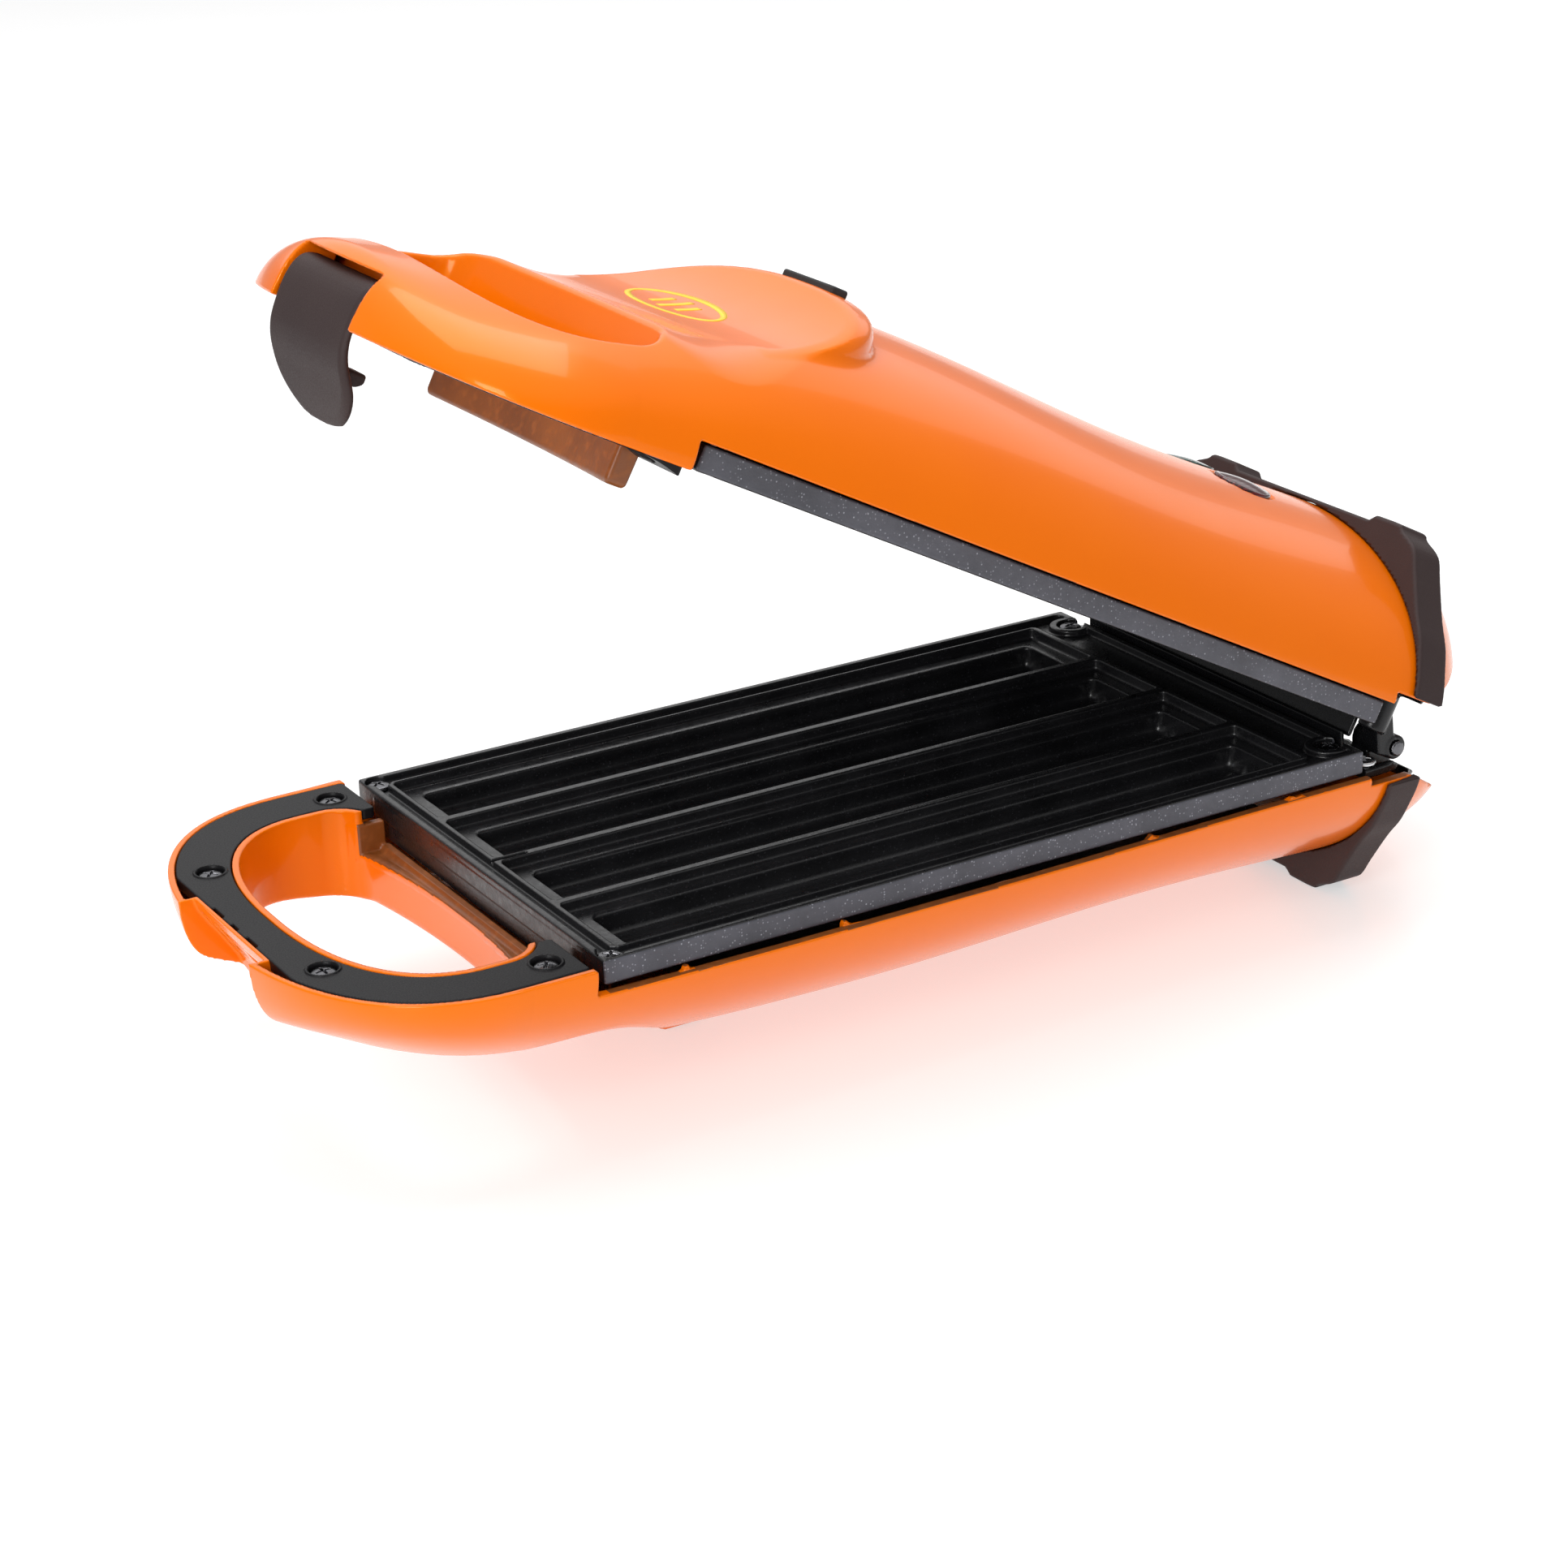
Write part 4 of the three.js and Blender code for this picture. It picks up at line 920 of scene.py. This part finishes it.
PAD_MARGIN = 0.6
for name, half, x0, x1, length, node in (
        ("front_pad", "lower", 46, 56, 14, "front_foot_pad"),
        ("crest_pad", "upper", 55.2, 60.4, 12, "top_rest_pad")):
    axes = (lines(x0 - PAD_MARGIN, (x1 + PAD_MARGIN, 0.35)),
            lines(-length - PAD_MARGIN, (length + PAD_MARGIN, 0.45)),
            lines(49.5, (53, 0.35)))
    fitted(field_piece(name, half, pad(x0, x1, length), axes, (RUBBER,)), "rubber", node)


def lens(x, y, z):
    """The far lens, a low dome with a thin rim on the lid's skin."""
    r = np.hypot(x - LENS_X, y - LENS_Y)
    skin = body(x, y, z)
    dome = skin - 1.3 + 0.014 * r ** 2
    rim = np.hypot(r - 7.9, skin - 0.15) - 0.35
    return rmin(rmax(rmax(dome, r - 8.4, 0.5), 43.2 - z, 0.3), rim, 0.2)


p, q, n = nets(lens, lines(195, (213, 0.5)), lines(4, (22, 0.5)), lines(42.6, (48.8, 0.4)))
fitted(add_mesh("lens_green", "upper", p, q, n, (GREEN,)), "green_lens", "green_lamp_lens")
fitted(add_mesh("lens_red", "upper", p * MIRROR, q[:, ::-1], n * MIRROR, (RED,)), "red_lens", "red_lamp_lens")


FIRST_RIB, RIB_PITCH = 268.6, 3.2


def gland(x, y, z):
    """A ribbed bush for the mains lead, narrower towards its end."""
    r = np.hypot(y, z - GLAND_Z)
    sleeve = r - 5.0 + 0.03 * np.maximum(x - 266, 0)
    count = (x - FIRST_RIB) / RIB_PITCH
    ribs = np.abs(count - np.round(count)) * RIB_PITCH - 0.7
    sleeve = cut(sleeve, rmax(rmax(ribs, 4.0 - r, 0.2), 268 - x, 0.2), 0.2)
    solid = rmax(sleeve, np.abs(x - 274.2) - 10.1, 0.5)
    solid = rmin(solid, rmax(r - 7.1, np.abs(x - 265.3) - 1.2, 0.3), 0.3)
    return cut(solid, r - 3.3, 0.3)


axes = lines(263.6, (284.9, 0.4)), lines(-7.6, (7.6, 0.45)), lines(28.4, (43.6, 0.45))
fitted(field_piece("gland_bush", "lower", gland, axes, (RUBBER,)), "rubber", "cord_gland")


# ---- a plain printed mark in the lid's scoop: an oval with three bars ----
MARK_LIFT, MARK_DEPTH = 0.09, -0.2
MARK_X, MARK_Y = 26.0, 7.0
OVAL_X, OVAL_Y, OVAL_WIDTH, OVAL_STEPS = 7.4, 20, 1.6, 64
BAR_PITCH, BAR_WIDTH = 6.4, 2.4


def scoop_height(x):
    sx, sz, radius = HALVES["upper"]["scoop"]
    return sz - np.sqrt(radius ** 2 - (x - sx) ** 2)


def ribbon(points, width, closed):
    """A raised printed line: vertices and faces of a thin closed strip along plan points."""
    pts = np.array(points, float)
    ahead = np.roll(pts, -1, 0) - np.roll(pts, 1, 0)
    if not closed:
        ahead[0], ahead[-1] = pts[1] - pts[0], pts[-1] - pts[-2]
    ahead /= np.linalg.norm(ahead, axis=1, keepdims=True)
    across = np.stack([-ahead[:, 1], ahead[:, 0]], 1) * width / 2
    rows = []
    for side, lift in ((1, MARK_LIFT), (-1, MARK_LIFT), (-1, MARK_DEPTH), (1, MARK_DEPTH)):
        at = pts + side * across
        rows.append(np.stack([at[:, 0], at[:, 1], scoop_height(at[:, 0]) + lift], 1))
    count = len(pts)
    vertices = np.stack(rows, 1).reshape(-1, 3)
    faces = []
    for i in range(count if closed else count - 1):
        a, b = 4 * i, 4 * ((i + 1) % count)
        faces += [(a + k, b + k, b + (k + 1) % 4, a + (k + 1) % 4) for k in range(4)]
    if not closed:
        end = 4 * (count - 1)
        faces += [(0, 1, 2, 3), (end + 3, end + 2, end + 1, end)]
    return vertices, faces


turns = np.linspace(0, 2 * math.pi, OVAL_STEPS, False)
oval = [(MARK_X + OVAL_X * math.cos(a), MARK_Y + OVAL_Y * math.sin(a)) for a in turns]
strokes = [(oval, OVAL_WIDTH, True)]
for k in (-1, 0, 1):
    reach = 4.6 - 1.4 * abs(k)
    bar = [(MARK_X + s, MARK_Y + BAR_PITCH * k) for s in np.linspace(-reach, reach, 9)]
    strokes.append((bar, BAR_WIDTH, False))
vertices = []
faces = []
for points, width, closed in strokes:
    v, f = ribbon(points, width, closed)
    first = sum(map(len, vertices))
    faces += [tuple(i + first for i in face) for face in f]
    vertices.append(v)
add_mesh("printed_mark", "upper", np.concatenate(vertices), faces, None, (YELLOW,))

# ---- stage, light and camera ----
WHITE = (1, 1, 1, 1)
FLOOR_GLOW = 0.55
FLOOR_HALF = 4  # metres
floor_paint = Paint("floor", (0.93, 0.93, 0.93), 0.28, IOR=1.35, Emission_Color=WHITE,
                    Emission_Strength=FLOOR_GLOW)
floor_paint.color(floor_paint.mix(floor_paint.noise(3, 2), (0.50, 0.50, 0.50), (0.53, 0.53, 0.53)))
mesh = bpy.data.meshes.new("floor")
grid = bmesh.new()
bmesh.ops.create_grid(grid, x_segments=1, y_segments=1, size=FLOOR_HALF)
grid.to_mesh(mesh)
grid.free()
floor = bpy.data.objects.new("floor", mesh)
floor.data.materials.append(floor_paint.material)
bpy.context.scene.collection.objects.link(floor)

bpy.context.scene.view_settings.view_transform = "Standard"
world = bpy.data.worlds.new("studio")
bpy.context.scene.world = world
world.use_nodes = True
tree = world.node_tree
background = tree.nodes["Background"]
background.inputs["Strength"].default_value = 1.0
# the sky is brightest overhead and dim near the horizon, and plain white behind the object
SKY_GREYS = ((0.0, 0.3), (0.45, 0.32), (0.8, 0.9), (1.0, 1.0))
direction = tree.nodes.new("ShaderNodeSeparateXYZ")
tree.links.new(tree.nodes.new("ShaderNodeTexCoord").outputs["Generated"], direction.inputs[0])
sky = tree.nodes.new("ShaderNodeValToRGB")
while len(sky.color_ramp.elements) < len(SKY_GREYS):
    sky.color_ramp.elements.new(0.5)
for element, (at, grey) in zip(sky.color_ramp.elements, SKY_GREYS):
    element.position = at
    element.color = (grey, grey, grey, 1)
tree.links.new(direction.outputs["Z"], sky.inputs["Fac"])
seen = tree.nodes.new("ShaderNodeMix")
seen.data_type = "RGBA"
tree.links.new(tree.nodes.new("ShaderNodeLightPath").outputs["Is Camera Ray"], seen.inputs[0])
tree.links.new(sky.outputs["Color"], seen.inputs[6])
seen.inputs[7].default_value = WHITE
tree.links.new(seen.outputs[2], background.inputs["Color"])


def softbox(name, at, target, size, power):
    """A rectangular lamp at a point in metres, facing another; its power is in watts."""
    light = bpy.data.lights.new(name, "AREA")
    light.shape = "RECTANGLE"
    light.size, light.size_y = size
    light.energy = power
    obj = bpy.data.objects.new(name, light)
    obj.location = at
    obj.rotation_euler = (Vector(target) - Vector(at)).to_track_quat("-Z", "Y").to_euler()
    bpy.context.scene.collection.objects.link(obj)


softbox("overhead", (0.15, 0.25, 1.3), (0.1, 0, 0.05), (1.2, 0.8), 10)
softbox("left", (-0.9, -0.7, 0.6), (0.1, 0, 0.1), (0.4, 0.6), 7)

# the camera as solved from the photo: a rotation vector and an offset in half-frame millimetres
CAMERA_TURN = Vector((1.89337061, -0.54664539, 0.32281274))
CAMERA_OFFSET = Vector((-78.40699, 20.03619, 871.99684))
IMAGE_PIXELS, FOCAL_PIXELS, SENSOR_MM = 1932, 4266.73, 36
world_to_camera = Matrix.Rotation(CAMERA_TURN.length, 3, CAMERA_TURN.normalized())
right, down, ahead = (Vector(row) for row in world_to_camera)
softbox("behind", (0.1 + 1.3 * ahead.x, 1.3 * ahead.y, 0.95), (0.1, 0, 0.15), (2.6, 1.3), 7)
spot = -(world_to_camera.transposed() @ CAMERA_OFFSET)
camera_data = bpy.data.cameras.new("camera")
camera_data.sensor_width = SENSOR_MM
camera_data.lens = FOCAL_PIXELS * SENSOR_MM / IMAGE_PIXELS
camera = bpy.data.objects.new("camera", camera_data)
pose = Matrix((right, -down, -ahead)).transposed().to_4x4()
pose.translation = Vector(((spot.x - ORIGIN_X) / 1000, spot.y / 1000, (spot.z + FOOT) / 1000))
camera.matrix_world = pose
bpy.context.scene.collection.objects.link(camera)
bpy.context.scene.camera = camera
